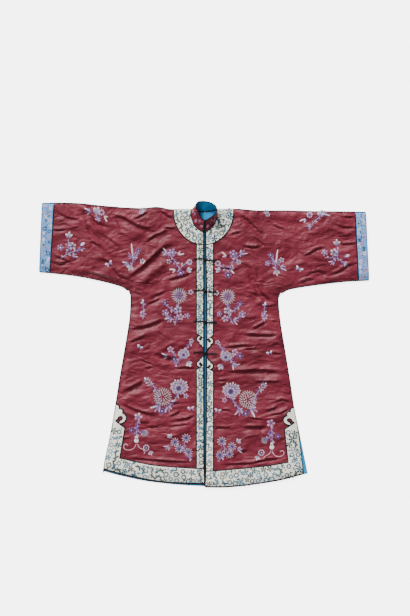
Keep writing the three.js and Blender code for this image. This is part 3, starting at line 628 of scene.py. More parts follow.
def tube(path, radius, flat=1.0):
    """A cord along a path that never stands upright. flat is its height for its width."""
    path = np.array(path, float)
    ahead = np.gradient(path, axis=0)
    ahead /= np.maximum(np.linalg.norm(ahead, axis=1), 1e-9)[:, None]
    across = np.cross(ahead, (0, 0, 1))
    across /= np.maximum(np.linalg.norm(across, axis=1), 1e-9)[:, None]
    up = np.cross(across, ahead)
    turns = np.linspace(0, 2 * math.pi, CORD_SIDES, endpoint=False)
    rings = [path + radius * (across * math.cos(t) + flat * up * math.sin(t)) for t in turns]
    return np.stack(rings, 1).reshape(-1, 3), ring_faces(len(path), CORD_SIDES)


def join(parts):
    """One mesh from several."""
    points, faces, count = [], [], 0
    for some_points, some_faces in parts:
        points.append(some_points)
        faces += [tuple(v + count for v in face) for face in some_faces]
        count += len(some_points)
    return np.vstack(points), faces


def mirrored(half, points, faces):
    """A half's mesh with x from the viewer's left."""
    if half["side"] > 0:
        return points, faces
    return points * (-1, 1, 1), [tuple(reversed(face)) for face in faces]


def make_piece(name, points, faces, finish, slot, nodes=(), sharp=40):
    """An object from a mesh in the pattern's millimetres, which rides on the jacket."""
    places = (np.asarray(points) + (*ORIGIN, 0)) * MM
    mesh = bpy.data.meshes.new(name)
    mesh.from_pydata(places.tolist(), [], [tuple(int(v) for v in face) for face in faces])
    mesh.validate()
    mesh.shade_smooth()
    mesh.set_sharp_from_angle(angle=math.radians(sharp))
    mesh.materials.append(finish)
    piece = bpy.data.objects.new(name, mesh)
    bpy.context.scene.collection.objects.link(piece)
    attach(piece, BODY)
    if nodes:
        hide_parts(*nodes)
    return piece


def surface_area(points, faces):
    """Area of a mesh, in square metres."""
    corners = np.array([(f[0], f[k], f[k + 1]) for f in faces for k in range(1, len(f) - 1)])
    a, b, c = (points[corners[:, k]] for k in range(3))
    return float(np.linalg.norm(np.cross(b - a, c - a), axis=1).sum() / 2) * MM * MM


# Cloth lattices


# Rows of the back's chest and cuffs, as shares of the way up to the shoulder, closest round the neck
BACK_ROWS = (1, 0.985, 0.97, 0.955, 0.94, 0.92, 0.85, 0.7, 0.5, 0.25, 0)
# Lengths of a half's parts, which give their numbers of cells, and the cells of the parts that lie plain
PART_LENGTHS = {"across": 350, "sleeve": 310, "body": 770, "chest": 325}
PLAIN_CELLS = {"fold": 5, "back_body": 24}


def cloth_counts():
    """Numbers of cells of a body half: columns across and on the sleeve, and rows of each part."""
    cell = bpy.context.scene.jacket_cloth.cell / MM
    return PLAIN_CELLS | {part: round(length / cell) for part, length in PART_LENGTHS.items()}


def body_row(half, inner, outer, hem, down, columns):
    """x and y of a row below the underarm, down from 0 there to 1 at the hem."""
    share = np.linspace(0, 1, columns + 1)
    hem_y = read(hem, share * outer(hem[-1][1]))
    y = mix(half["underarm"][1], hem_y, down)
    return mix(inner(y), outer(y), share), y


def chest_row(half, inner, up, across, sleeve):
    """x and y of a row over the chest and sleeve, up from 0 at the underarm to 1 at the fold."""
    y0 = half["underarm"][1] * (1 - up)
    arm = half["underarm"][0]
    seam = mix(*half["cuff_seam"], up)
    chest = np.linspace(inner(np.array([y0]))[0], arm, across + 1)
    x = np.concatenate([chest, np.linspace(arm, seam, sleeve + 1)[1:]])
    return x, row_height(half, x, up)


def row_height(half, x, up):
    """y of a row over the chest, sleeve or cuff."""
    return mix(read(half["sleeve"], x, 2), read(half["sleeve"], x, 1) - FOLD_RADIUS, up)


def over_the_fold(x, y, steps):
    """Rows of points that take the cloth from the front layer round to the back layer."""
    middle, reach = (FOLD_LEVEL + SILK / 2) / 2, (FOLD_LEVEL - SILK / 2) / 2
    rows = []
    for k in range(1, steps):
        angle = math.pi * (0.5 - k / steps)
        z = np.full(x.shape, middle + reach * math.sin(angle))
        rows.append(np.column_stack([x, y + FOLD_RADIUS * math.cos(angle), z]))
    return rows


def body_lattice(half):
    """The middle surface of a body half, from the front hem over the shoulder to the back hem."""
    n = cloth_counts()
    columns = n["across"] + n["sleeve"]

    def opening(y):
        return read(half["opening"], y)

    def centre_back(y):
        return np.full(np.shape(y), GAP / 2)

    def front_side(y):
        return read(half["front_side"], y)

    def back_side(y):
        return np.where(y < SLIT_TOP, read(half["back_side"], y), front_side(y))

    rows, is_body = [], []

    def add(x, y, z, body):
        spare = columns + 1 - len(x)
        x, y, z = (np.concatenate([v, np.full(spare, v[-1])]) for v in (x, y, z))
        rows.append(np.column_stack([x, y, z]))
        is_body.append(body)

    for k in range(n["body"]):
        x, y = body_row(half, opening, front_side, half["front_hem"], 1 - k / n["body"], n["across"])
        add(x, y, front_height(half, x, y), True)
    for k in range(n["chest"] + 1):
        x, y = chest_row(half, opening, k / n["chest"], n["across"], n["sleeve"])
        add(x, y, front_height(half, x, y), False)
    for row in over_the_fold(x, y, n["fold"]):
        add(*row.T, False)
    for up in BACK_ROWS:
        x, y = chest_row(half, centre_back, up, n["across"], n["sleeve"])
        add(x, y, np.full(x.shape, SILK / 2), False)
    for k in range(1, n["back_body"] + 1):
        down = (k / n["back_body"]) ** 1.3
        x, y = body_row(half, centre_back, back_side, half["back_hem"], down, n["across"])
        add(x, y, np.full(x.shape, SILK / 2), True)

    def exists(column, row):
        return column < n["across"] or not (is_body[row] or is_body[row + 1])

    return np.vstack(rows), grid_faces(columns, len(rows) - 1, exists)


def cuff_lattice(half):
    """The middle surface of a cuff band, folded over at the top like its sleeve."""
    n = cloth_counts()
    share = np.linspace(0, 1, 11)

    def band(up):
        x = mix(mix(*half["cuff_seam"], up) + GAP, mix(*half["cuff_edge"], up), share)
        return x, row_height(half, x, up)

    rows = []
    for k in range(n["chest"] + 1):
        x, y = band(k / n["chest"])
        rows.append(np.column_stack([x, y, front_height(half, x, y)]))
    rows += over_the_fold(x, y, n["fold"])
    for up in BACK_ROWS:
        x, y = band(up)
        rows.append(np.column_stack([x, y, np.full(x.shape, SILK / 2)]))
    return np.vstack(rows), grid_faces(len(share) - 1, len(rows) - 1)


def without_neck(half, points, faces):
    """A body half's surface with the neck hole cut out of its front, fold and back."""
    shown = half["side"] * points[:, 0]
    front = neck_distance(shown, points[:, 1])
    cx, _, rx, _ = NECK
    scoop = ellipse_distance(shown, points[:, 1], (cx, 0, rx, NECK_BACK_DEPTH))
    back = np.where(points[:, 1] > 0, np.abs(shown - cx) - rx, scoop)
    hole = np.where(points[:, 2] < SILK, back, front)
    return cut(points, faces, -hole)


# Ribbon shapes: distances out from each outline, at places in a half


def head_distance(half, u, v, across, along, straight_from):
    """Distance out from a cloud head and the ribbon behind it, u and v in mm on the cloth."""
    outline = [(FAR_INSIDE, straight_from), (HEAD_WIDTH * across, straight_from)]
    outline += [(a * across, b * along) for a, b in HEAD_OUTLINE]
    outline.append((FAR_INSIDE, HEAD_LOBES["tip"][1] * along))

    def lobe(name):
        cu, cv, ru, rv = HEAD_LOBES[name]
        return ellipse_distance(u, v, (cu * across, cv * along, ru * across, rv * along))

    curl = np.maximum(lobe("curl"), np.maximum(-lobe("eye"), -lobe("mouth")))
    rounds = np.minimum(np.minimum(lobe("middle"), lobe("tip")), curl)
    return np.minimum(polygon_distance(u, v, outline), rounds)


def yoke_distance(half, x, y):
    return ellipse_distance(half["side"] * x, y, YOKE)


def band_distance(name, part, x, y):
    """Distance out from the upper or lower front band."""
    half = HALVES[name]
    outer, *shoulders = FRONT_BAND[name]
    shoulder, along = shoulders[part]
    way = (-1, 1)[part]
    far = (YOKE[1] - YOKE[3] / 2, HEM_TRIM[name][0][1][1] + JOIN)[part]
    v = way * (y - shoulder)
    head = head_distance(half, x - outer + HEAD_WIDTH, v, 1, along, way * (far - shoulder))
    return np.maximum(head, JOIN - yoke_distance(half, x, y))


def hem_trim_distance(name, x, y):
    """Distance out from the ribbon along the hem and up the slit to its cloud head."""
    half = HALVES[name]
    inner, (shoulder_x, shoulder_y), along = HEM_TRIM[name]
    corner_x, corner_y = inner[-1]
    low = half["front_hem"][0][1] - 60
    side_x = float(read(half["front_side"], shoulder_y))
    steps = np.linspace(inner[0][0], corner_x, 12, endpoint=False)
    outline = [(float(at), float(read(inner, at))) for at in steps]
    outline += [(corner_x, corner_y), (shoulder_x, shoulder_y), (side_x + 60, shoulder_y)]
    outline += [(side_x + 120, low), (inner[0][0], low)]
    across = (side_x - shoulder_x) / HEAD_WIDTH
    u = read(half["front_side"], y) - x
    head = head_distance(half, u, y - shoulder_y, across, along, HEAD_FROM * along)
    return np.minimum(polygon_distance(x, y, outline), head)


def cloth_edge(half, x, y, inset=0.0):
    """Distance out from the front cloth below the shoulder fold, short of its edges by an inset."""
    top, seam, hem, opening = edge_distances(half, x, y)
    neck = neck_distance(half["side"] * x, y)
    nearest = np.minimum(np.minimum(np.minimum(top, seam), np.minimum(hem, opening)), neck)
    return inset - nearest


def ribbon_shapes(name):
    """The ribbons of a half: the places to look at and the distance out from each outline."""
    half = HALVES[name]
    low = half["front_hem"][0][1] - 6
    width = FRONT_BAND[name][0] + 12
    inner = HEM_TRIM[name][0]
    return {
        "yoke": ((0, 135, -160, 0), lambda x, y: yoke_distance(half, x, y)),
        "front_band_upper": ((0, width, -585, -100), lambda x, y: band_distance(name, 0, x, y)),
        "front_band_lower": (
            (0, width, inner[0][1] - 4, -570),
            lambda x, y: band_distance(name, 1, x, y),
        ),
        "hem_trim": ((0, 425, low, -780), lambda x, y: hem_trim_distance(name, x, y)),
    }


def on_front(half, area, field, cell, inset=0.4):
    """A surface on the front cloth where a field of x and y is below 0."""
    places, faces = grid(*area, cell)
    x, y = places.T
    places, faces = cut(places, faces, np.maximum(field(x, y), cloth_edge(half, x, y, inset)))
    z = front_height(half, places[:, 0], places[:, 1])
    return np.column_stack([places, z]), faces


def make_ribbon(name, trim, finish):
    """A ribbon, cut to its outline and laid on the front."""
    half = HALVES[name]
    area, field = ribbon_shapes(name)[trim]
    points, faces = on_front(half, area, field, bpy.context.scene.jacket_cloth.ribbon_cell / MM)
    wall = mirrored(half, *thicken(points, faces, ON_CLOTH - 0.1, ON_RIBBON))
    piece = make_piece(f"ribbon_{trim}_{name}", *wall, finish, "ribbon", [f"{trim}_{name}"])
    return piece, surface_area(points, faces)


def make_piping(name, level, trims, areas, finish):
    """Rounded piping round some ribbons that meet."""
    half = HALVES[name]
    shapes = ribbon_shapes(name)
    middle = JOIN / 2
    radius = PIPING["width"] / 2

    def distance(x, y):
        return np.minimum.reduce([shapes[trim][1](x, y) for trim in trims])

    parts = []
    for area in areas:
        points, faces = on_front(half, area, lambda x, y: np.abs(distance(x, y) - middle) - radius, 1.25)
        share = (distance(points[:, 0], points[:, 1]) - middle) / radius
        rise = ON_CLOTH + PIPING["height"] * np.sqrt(np.clip(1 - share**2, 0.02, 1))
        parts.append(thicken(points, faces, ON_CLOTH - 0.1, rise))
    wall = mirrored(half, *join(parts))
    solid = f"piping_{level}_{name}"
    return make_piece(f"piping_round_{level}_{name}", *wall, finish, "cord", [solid], sharp=70)


# Edging: thin dark bindings along the cloth's edges. The opening's bindings reach into the gap as partly
# painted shade, and the cord along the shoulder fold is painted shade.


def edge_paths(half):
    """Lines along the edges that are bound, and along the shoulder fold for a dark cord of painted shade, in
    the pattern's x and y.
    """
    side, opening, hem, inset = half["front_side"], half["opening"], half["front_hem"], EDGE_INSET
    arm_x, arm_y = half["underarm"]
    down = np.linspace(NECK[1] - NECK[3], hem[0][1] + 1.5, 170)
    # Partly painted shade: the opening's bindings are real, but they are made wide and set into the gap so
    # that they darken the lining that shows between the fronts
    yield "opening", np.column_stack([read(opening, down) + inset["opening"], down])
    y = np.linspace(arm_y - 4, side[0][0] + 2, 120)
    yield "side", np.column_stack([read(side, y) - inset["side"], y])
    x = np.linspace(arm_x + 2, half["cuff_edge"][0] - 1, 70)
    yield "sleeve", np.column_stack([x, read(half["sleeve"], x, 2) + inset["sleeve"]])
    x = np.linspace(read(opening, hem[0][1]) + 1, hem[-1][0] - 1, 80)
    yield "hem", np.column_stack([x, read(hem, x) + inset["hem"]])
    up = np.linspace(0.01, 0.985, 60)
    x = mix(*half["cuff_seam"], up) + inset["cuff"]
    yield "cuff", np.column_stack([x, row_height(half, x, up)])
    x = mix(*half["cuff_edge"], up)
    yield "end", np.column_stack([x - inset["end"], row_height(half, x, up)])
    # The shoulder fold is not bound: this top cord is a dark line of painted shade where the fold turns down
    # away from the light
    x = np.linspace(YOKE[2] + 12, half["cuff_edge"][1] - 1, 80)
    yield "top", np.column_stack([x, read(half["sleeve"], x, 1) - inset["top"]])


# Node groups and materials

# Layers of the crinkled silk: turn in degrees, closeness, how many times longer than wide, share of the height
# and whether its creases are sharp
CRINKLES = ((-32, 0.8, 1.7, 1.0, True), (30, 1.0, 1.8, 0.7, True), (-10, 0.36, 1.5, 2.6, False))
SCROLL_TURNS = 26.0  # radians of a damask figure's rings to its own width
THREAD_DEPTH = 0.0004  # metres
# Half width of the painted shade on the lining down the opening between the fronts, and how softly that ends,
# in metres
OPENING_PAINTED_SHADE = (0.01, 0.016)
# How softly the painted shade on the lining ends at the neck's lowest point, in metres
SHADE_NECK_BLEND = 0.01


def add_node(tree, kind, values=None, **settings):
    """A node with its settings, and its inputs set to the values or linked to the sockets given."""
    made = tree.nodes.new(kind)
    for key, value in settings.items():
        setattr(made, key, value)
    for key, value in (values or {}).items():
        if isinstance(value, bpy.types.NodeSocket):
            tree.links.new(value, made.inputs[key])
        else:
            made.inputs[key].default_value = value
    return made


def calculate(tree, operation, *values):
    """What a Math node makes of some values and sockets."""
    return add_node(tree, "ShaderNodeMath", dict(enumerate(values)), operation=operation).outputs[0]


def stretched(tree, value, low, high, to_low=0.0, to_high=1.0):
    """A socket's range from low to high, taken to another one."""
    ends = {"Value": value, "From Min": low, "From Max": high, "To Min": to_low, "To Max": to_high}
    return add_node(tree, "ShaderNodeMapRange", ends).outputs["Result"]


def blended(tree, share, first, second):
    """A colour between two others."""
    values = {"Factor": share, 6: first, 7: second}
    return add_node(tree, "ShaderNodeMix", values, data_type="RGBA").outputs[2]


def noise(tree, place, scale, **values):
    """A noise texture's height."""
    return add_node(tree, "ShaderNodeTexNoise", {"Vector": place, "Scale": scale, **values}).outputs[0]


def node_group(name, inputs, output, build):
    """A shader node group, built once. build takes its inputs' sockets to the one that it puts out."""
    if name in bpy.data.node_groups:
        return bpy.data.node_groups[name]
    tree = bpy.data.node_groups.new(name, "ShaderNodeTree")
    for title, default in {"Place": "Vector", **inputs}.items():
        kind = default if isinstance(default, str) else "Float"
        socket = tree.interface.new_socket(name=title, in_out="INPUT", socket_type=f"NodeSocket{kind}")
        if kind == "Float":
            socket.default_value = default
    title, kind = output
    tree.interface.new_socket(name=title, in_out="OUTPUT", socket_type=f"NodeSocket{kind}")
    given = tree.nodes.new("NodeGroupInput").outputs
    tree.links.new(build(tree, given), tree.nodes.new("NodeGroupOutput").inputs[title])
    return tree


def weave_group():
    """Fine threads that cross, as a height."""

    def build(tree, given):
        values = {
            "Vector": given["Place"], "Scale": given["Threads per metre"], "Distortion": 1.2, "Detail": 1.0,
        }
        warp, weft = (
            add_node(tree, "ShaderNodeTexWave", values, bands_direction=axis).outputs["Fac"] for axis in "XY"
        )
        return add_node(tree, "ShaderNodeMix", {"Factor": given["Weft share"], 2: warp, 3: weft}).outputs[0]

    inputs = {"Threads per metre": 1500.0, "Weft share": 0.5}
    return node_group("Woven Threads", inputs, ("Height", "Float"), build)


def crinkle_group():
    """Creases that run mostly across the garment, as a height."""

    def build(tree, given):
        total = 0.0
        for turn, close, stretch, share, is_sharp in CRINKLES:
            scale = (close, close * stretch, close)
            values = {"Vector": given["Place"], "Rotation": (0, 0, math.radians(turn)), "Scale": scale}
            place = add_node(tree, "ShaderNodeMapping", values).outputs["Vector"]
            height = noise(
                tree, place, given["Creases per metre"], Detail=2.5, Roughness=0.5, Distortion=0.5
            )
            if is_sharp:
                height = calculate(tree, "ABSOLUTE", calculate(tree, "SUBTRACT", height, 0.5))
            total = calculate(tree, "MULTIPLY_ADD", height, share, total)
        return total

    return node_group("Crinkled Cloth", {"Creases per metre": 15.0}, ("Height", "Float"), build)


def dye_group():
    """Two tones of one dye that drift into each other."""

    def build(tree, given):
        patches = noise(tree, given["Place"], given["Patches per metre"], Detail=6.0, Roughness=0.6)
        return blended(tree, stretched(tree, patches, 0.3, 0.7), given["Light tone"], given["Deep tone"])

    inputs = {"Light tone": "Color", "Deep tone": "Color", "Patches per metre": 9.0}
    return node_group("Uneven Dye", inputs, ("Color", "Color"), build)


def damask_group():
    """A woven figure of scrolls, as a mask that is 1 where the weave turns dull."""

    def build(tree, given):
        values = {"Vector": given["Place"], "Scale": given["Figures per metre"], "Randomness": 0.35}
        cells = add_node(tree, "ShaderNodeTexVoronoi", values, feature="F1")
        rings = calculate(tree, "SINE", calculate(tree, "MULTIPLY", cells.outputs["Distance"], SCROLL_TURNS))
        return stretched(tree, rings, -0.15, 0.15)

    return node_group("Damask Figure", {"Figures per metre": 16.0}, ("Mask", "Float"), build)


class Finish:
    """A material with a Principled shader, made node by node."""

    def __init__(self, name, **sockets):
        self.material = bpy.data.materials.new(name)
        self.material.use_nodes = True
        self.tree = self.material.node_tree
        self.shader = self.tree.nodes["Principled BSDF"]
        self.place = add_node(self.tree, "ShaderNodeTexCoord").outputs["Object"]
        for socket, value in sockets.items():
            self.shader.inputs[socket.replace("_", " ")].default_value = value

    def feed(self, socket, source):
        """Link a socket of the shader."""
        self.tree.links.new(source, self.shader.inputs[socket])
        return source

    def group(self, tree, values):
        """What a node group puts out at each place."""
        values = {"Place": self.place, **values}
        return add_node(self.tree, "ShaderNodeGroup", values, node_tree=tree).outputs[0]

    def bump(self, height, strength, depth, **under):
        values = {"Height": height, "Strength": strength, "Distance": depth, **under}
        return self.feed("Normal", add_node(self.tree, "ShaderNodeBump", values).outputs["Normal"])

    def dye(self, light, deep, patches):
        tones = {"Light tone": opaque(light), "Deep tone": opaque(deep), "Patches per metre": patches}
        return self.feed("Base Color", self.group(dye_group(), tones))

    def weave(self, threads, strength, weft=0.5):
        height = self.group(weave_group(), {"Threads per metre": threads, "Weft share": weft})
        return self.bump(height, strength, THREAD_DEPTH)

    def crinkle(self, creases, depth, weave):
        self.bump(self.group(crinkle_group(), {"Creases per metre": creases}), 1.0, depth, Normal=weave)

    def damask(self, figures, bright, dull):
        mask = self.group(damask_group(), {"Figures per metre": figures})
        self.feed("Roughness", stretched(self.tree, mask, 0.0, 1.0, bright, dull))


def darker(shade, share):
    return tuple(value * share for value in shade)


def silk_finish(colours):
    """Maroon satin damask."""
    finish = Finish("Maroon silk", Sheen_Weight=0.1, Sheen_Roughness=0.4, Specular_IOR_Level=0.36)
    finish.shader.inputs["Sheen Tint"].default_value = opaque(linear(235, 170, 180))
    finish.dye(colours.silk, colours.silk_deep, 7.0)
    finish.damask(16.0, 0.5, 0.58)
    finish.crinkle(15.0, 0.0125, finish.weave(1400.0, 0.25, 0.7))
    return finish.material


def lining_finish(colours):
    """Turquoise lining silk, with painted shade down the opening below the neck: its colour is darkened there,
    where the fronts keep the light off.
    """
    finish = Finish("Turquoise silk", Roughness=0.5, Sheen_Weight=0.15, Sheen_Roughness=0.4)
    dye = finish.dye(colours.lining, darker(colours.lining, 0.7), 14.0)
    finish.weave(1200.0, 0.2)
    tree = finish.tree
    # Painted shade: a strip down the middle of the opening, below the neck, is blended to a much darker
    # turquoise
    parts = add_node(tree, "ShaderNodeSeparateXYZ", {0: finish.place}).outputs
    out = calculate(tree, "ABSOLUTE", calculate(tree, "SUBTRACT", parts["X"], ORIGIN[0] * MM))
    beside = stretched(tree, out, *OPENING_PAINTED_SHADE)
    above = stretched(tree, parts["Y"], NECK_POINT - SHADE_NECK_BLEND, NECK_POINT + SHADE_NECK_BLEND)
    clear = calculate(tree, "MAXIMUM", beside, above)
    finish.feed("Base Color", blended(tree, clear, opaque(darker(colours.lining, 0.36)), dye))
    return finish.material


def cuff_finish(colours):
    """Light-blue damask of the cuff bands."""
    finish = Finish("Light-blue silk", Sheen_Weight=0.2, Sheen_Roughness=0.4)
    finish.dye(colours.cuff, darker(colours.cuff, 0.82), 30.0)
    finish.damask(50.0, 0.42, 0.55)
    finish.weave(1300.0, 0.2)
    return finish.material


def ribbon_finish(colours):
    """Cream woven ribbon."""
    finish = Finish("Cream ribbon", Roughness=0.6, Sheen_Weight=0.15, Sheen_Roughness=0.5)
    finish.dye(colours.ribbon, darker(colours.ribbon, 0.9), 60.0)
    finish.weave(1000.0, 0.35)
    return finish.material


def cord_finish(colours):
    """Black silk cord and piping."""
    finish = Finish(
        "Black cord", Roughness=0.6, Sheen_Weight=0.04, Sheen_Roughness=0.4, Specular_IOR_Level=0.25
    )
    finish.dye(colours.cord, darker(colours.cord, 0.6), 80.0)
    finish.weave(700.0, 0.5)
    return finish.material


def thread_finish(_):
    """Floss silk, in the colour that each stitch was given."""
    finish = Finish("Embroidery silk", Roughness=0.38, Sheen_Weight=0.2, Sheen_Roughness=0.3)
    shade = add_node(finish.tree, "ShaderNodeVertexColor", layer_name=THREAD_COLOUR)
    finish.feed("Base Color", shade.outputs["Color"])
    lie = add_node(finish.tree, "ShaderNodeUVMap", uv_map=THREAD_LIE).outputs["UV"]
    values = {"Vector": lie, "Scale": 0.8, "Distortion": 0.6}
    strands = add_node(finish.tree, "ShaderNodeTexWave", values, bands_direction="Y")
    finish.bump(strands.outputs["Fac"], 0.5, THREAD_DEPTH)
    return finish.material


THREAD_COLOUR = "thread"
THREAD_LIE = "lie"
MAKERS = {
    "silk": silk_finish,
    "lining": lining_finish,
    "cuff": cuff_finish,
    "ribbon": ribbon_finish,
    "cord": cord_finish,
    "thread": thread_finish,
}
FINISHES = {}


def finish_of(name):
    """A material, made the first time that it is asked for."""
    if name not in FINISHES:
        FINISHES[name] = MAKERS[name](bpy.context.scene.jacket_colours)
    return FINISHES[name]


# Embroidery

WHITE = linear(234, 226, 232)
PINK = linear(228, 180, 192)
LAVENDER = linear(182, 148, 190)
PURPLE = linear(96, 44, 118)
GREY = linear(160, 152, 152)
VIOLET = linear(134, 86, 154)
PLUM = linear(52, 30, 84)
NAVY = linear(18, 22, 44)
TEAL = linear(22, 78, 92)
STEEL = linear(66, 116, 140)
MIST = linear(112, 154, 172)
SLATE = linear(72, 94, 98)
SAGE = linear(82, 102, 80)

PETAL_POINTS = 10


class Stitching:
    """Raised satin stitches gathered into one mesh, with a colour and a thread direction at every point."""

    def __init__(self, height):
        self.height = height
        self.points, self.faces, self.colours, self.lie = [], [], [], []
        self.count = 0

    def petal(self, x, y, angle, length, width, root, tip, blunt=0.2, lift=0.0):
        """One petal, leaf or dot from its root outwards. blunt puts its widest part past the middle."""
        turns = np.arange(PETAL_POINTS) * 2 * math.pi / PETAL_POINTS
        along = (1 - np.cos(turns)) / 2
        across = np.sin(turns) * (1 - blunt * np.cos(turns)) / (1 + 0.3 * blunt)
        share = np.concatenate([along, 0.5 + (along - 0.5) * 0.55, [0.52]])
        side = np.concatenate([across, across * 0.55, [0.0]])
        rise = np.concatenate([np.zeros(PETAL_POINTS), np.full(PETAL_POINTS, 0.8), [1.0]])
        u, v = share * length, side * width / 2
        c, s = direction(angle)
        places = np.column_stack([x + u * c - v * s, y + u * s + v * c, lift + self.height * rise])
        n, first = PETAL_POINTS, self.count
        for k in range(n):
            after = (k + 1) % n
            self.faces.append((first + k, first + after, first + n + after, first + n + k))
            self.faces.append((first + n + k, first + n + after, first + 2 * n))
        self.faces.append(tuple(first + k for k in reversed(range(n))))
        self.points.append(places)
        pale = np.concatenate([share[:n] ** 0.8, share[n:] * 0.6])
        tones = [mix(np.array(root), np.array(tip), t) for t in pale]
        self.colours.append(np.array(tones))
        self.lie.append(np.column_stack([u, v]))
        self.count += len(places)

    def ring(self, x, y, petals, length, width, root, tip, turn=0.0, inner=0.0, blunt=0.35, lift=0.0):
        """Petals all round a point, their roots on a circle."""
        for k in range(petals):
            angle = turn + 360 * k / petals
            c, s = direction(angle)
            self.petal(x + inner * c, y + inner * s, angle, length, width, root, tip, blunt, lift)

    def dot(self, x, y, size, colour, lift=0.0):
        self.petal(x - size / 2, y, 0, size, size, colour, colour, 0.0, lift)

    def stem(self, path, width, colour, leaf=0.0, stitch=9):
        """Short overlapping stitches along a smooth line, with small leaves on both sides if leaf isn't 0."""
        path = np.array(path, float)
        length = np.concatenate([[0], np.cumsum(np.hypot(*np.diff(path, axis=0).T))])
        count = max(2, round(length[-1] / stitch))
        at = np.linspace(0, length[-1], count + 1)
        x, y = smooth_line(path, length, at)
        for k in range(count):
            dx, dy = x[k + 1] - x[k], y[k + 1] - y[k]
            angle = math.degrees(math.atan2(dy, dx))
            self.petal(x[k], y[k], angle, math.hypot(dx, dy) * 1.15, width, colour, colour, 0.0)
            if leaf and k:
                side = (-1, 1)[k % 2]
                size = leaf * (0.8 + 0.2 * math.sin(5 * k + path[0][0]))
                root, tip = ((PURPLE, LAVENDER), (VIOLET, WHITE), (PLUM, VIOLET))[k % 3]
                self.petal(x[k], y[k], angle + side * 48, size, size * 0.38, root, tip, 0.0)
                self.petal(x[k], y[k], angle - side * 62, size * 0.7, size * 0.28, PLUM, root, 0.0)

    def make(self, name, wrap):
        """The stitches as a piece, laid on a surface by a function of their places and heights."""
        places = wrap(np.vstack(self.points))
        piece = make_piece(name, places, self.faces, finish_of("thread"), "ribbon", sharp=80)
        mesh = piece.data
        colours = mesh.color_attributes.new(THREAD_COLOUR, "FLOAT_COLOR", "POINT")
        values = np.column_stack([np.vstack(self.colours), np.ones(len(places))])
        colours.data.foreach_set("color", values.astype(np.float32).ravel())
        corner = np.zeros(len(mesh.loops), np.int32)
        mesh.loops.foreach_get("vertex_index", corner)
        lie = mesh.uv_layers.new(name=THREAD_LIE)
        lie.data.foreach_set("uv", np.vstack(self.lie)[corner].astype(np.float32).ravel())
        return piece


def on_top(above):
    """Lays stitches on the front, some way above the middle of its cloth."""

    def wrap(places):
        x, y, z = places.T
        return np.column_stack([x, y, z + above + shown_height(x, y)])

    return wrap


def smooth_line(path, length, at):
    """Places along a smooth line through some points."""
    if len(path) == 2:
        return np.interp(at, length, path[:, 0]), np.interp(at, length, path[:, 1])
    return tuple(read(np.column_stack([length, path[:, k]]), at) for k in range(2))


# Motifs. Each takes the stitching, a place, a size across and a turn in degrees.


def blossom(work, x, y, size, turn, root=PURPLE, tip=WHITE, heart=PLUM):
    """A five-petalled flower with a dark heart."""
    work.ring(x, y, 5, size * 0.46, size * 0.36, root, tip, turn, size * 0.08, 0.5)
    work.dot(x, y, size * 0.2, heart, work.height * 0.6)


def violet(work, x, y, size, turn):
    blossom(work, x, y, size, turn, PLUM, VIOLET, WHITE)


def lavender(work, x, y, size, turn):
    blossom(work, x, y, size, turn, PURPLE, LAVENDER, WHITE)


def pink_blossom(work, x, y, size, turn):
    blossom(work, x, y, size, turn, VIOLET, PINK, PURPLE)


def ring_flower(work, x, y, size, turn):
    """A round flower seen from above: a ring of petals round a dark middle."""
    work.ring(x, y, 8, size * 0.26, size * 0.24, LAVENDER, WHITE, turn, size * 0.22, 0.4)
    work.ring(x, y, 5, size * 0.16, size * 0.14, PURPLE, VIOLET, turn + 20, size * 0.04, 0.2)


def petals(work, x, y, size, turn):
    """A half-open flower: three white petals from one root."""
    for spread, share in ((-34, 0.8), (0, 1.0), (34, 0.8)):
        work.petal(x, y, turn + spread, size * share, size * 0.34, PURPLE, WHITE, 0.3)


def leaves(work, x, y, size, turn):
    """Four narrow leaves from one root."""
    work.petal(x, y, turn - 22, size, size * 0.2, VIOLET, WHITE, 0.0)
    work.petal(x, y, turn + 14, size * 0.85, size * 0.18, PURPLE, LAVENDER, 0.0)
    work.petal(x, y, turn + 48, size * 0.62, size * 0.18, VIOLET, WHITE, 0.0)
    work.petal(x, y, turn - 60, size * 0.5, size * 0.16, PLUM, VIOLET, 0.0)


def pink_leaves(work, x, y, size, turn):
    work.petal(x, y, turn - 20, size, size * 0.24, PINK, WHITE, 0.0)
    work.petal(x, y, turn + 30, size * 0.7, size * 0.22, PINK, PINK, 0.0)
    work.petal(x, y, turn + 75, size * 0.45, size * 0.2, PURPLE, VIOLET, 0.0)


def bud(work, x, y, size, turn):
    work.petal(x, y, turn, size, size * 0.5, WHITE, PINK, 0.1)
    work.petal(x, y, turn - 32, size * 0.6, size * 0.24, PURPLE, VIOLET, 0.0)
    work.petal(x, y, turn + 32, size * 0.6, size * 0.24, PURPLE, VIOLET, 0.0)


def chrysanthemum(work, x, y, size, turn, outer=GREY, middle=LAVENDER):
    """A full head of narrow petals in three rounds."""
    up = work.height * 0.5
    work.ring(x, y, 19, size * 0.25, size * 0.055, GREY, outer, turn, size * 0.27, 0.4)
    work.ring(x, y, 16, size * 0.24, size * 0.055, VIOLET, WHITE, turn + 10, size * 0.17, 0.4, up)
    work.ring(x, y, 12, size * 0.2, size * 0.055, PURPLE, middle, turn + 12, size * 0.09, 0.4, 2 * up)
    work.ring(x, y, 8, size * 0.14, size * 0.05, PURPLE, GREY, turn + 25, size * 0.02, 0.3, 3 * up)


def coin_chrysanthemum(work, x, y, size, turn):
    """A lacy head made of rounds of small petals, silvery with gaps between them."""
    rounds = ((23, 0.45, GREY), (19, 0.36, WHITE), (14, 0.27, GREY), (9, 0.17, WHITE), (5, 0.08, LAVENDER))
    for count, reach, tip in rounds:
        work.ring(x, y, count, size * 0.09, size * 0.08, GREY, tip, turn + 70 * reach, size * reach, 0.5)


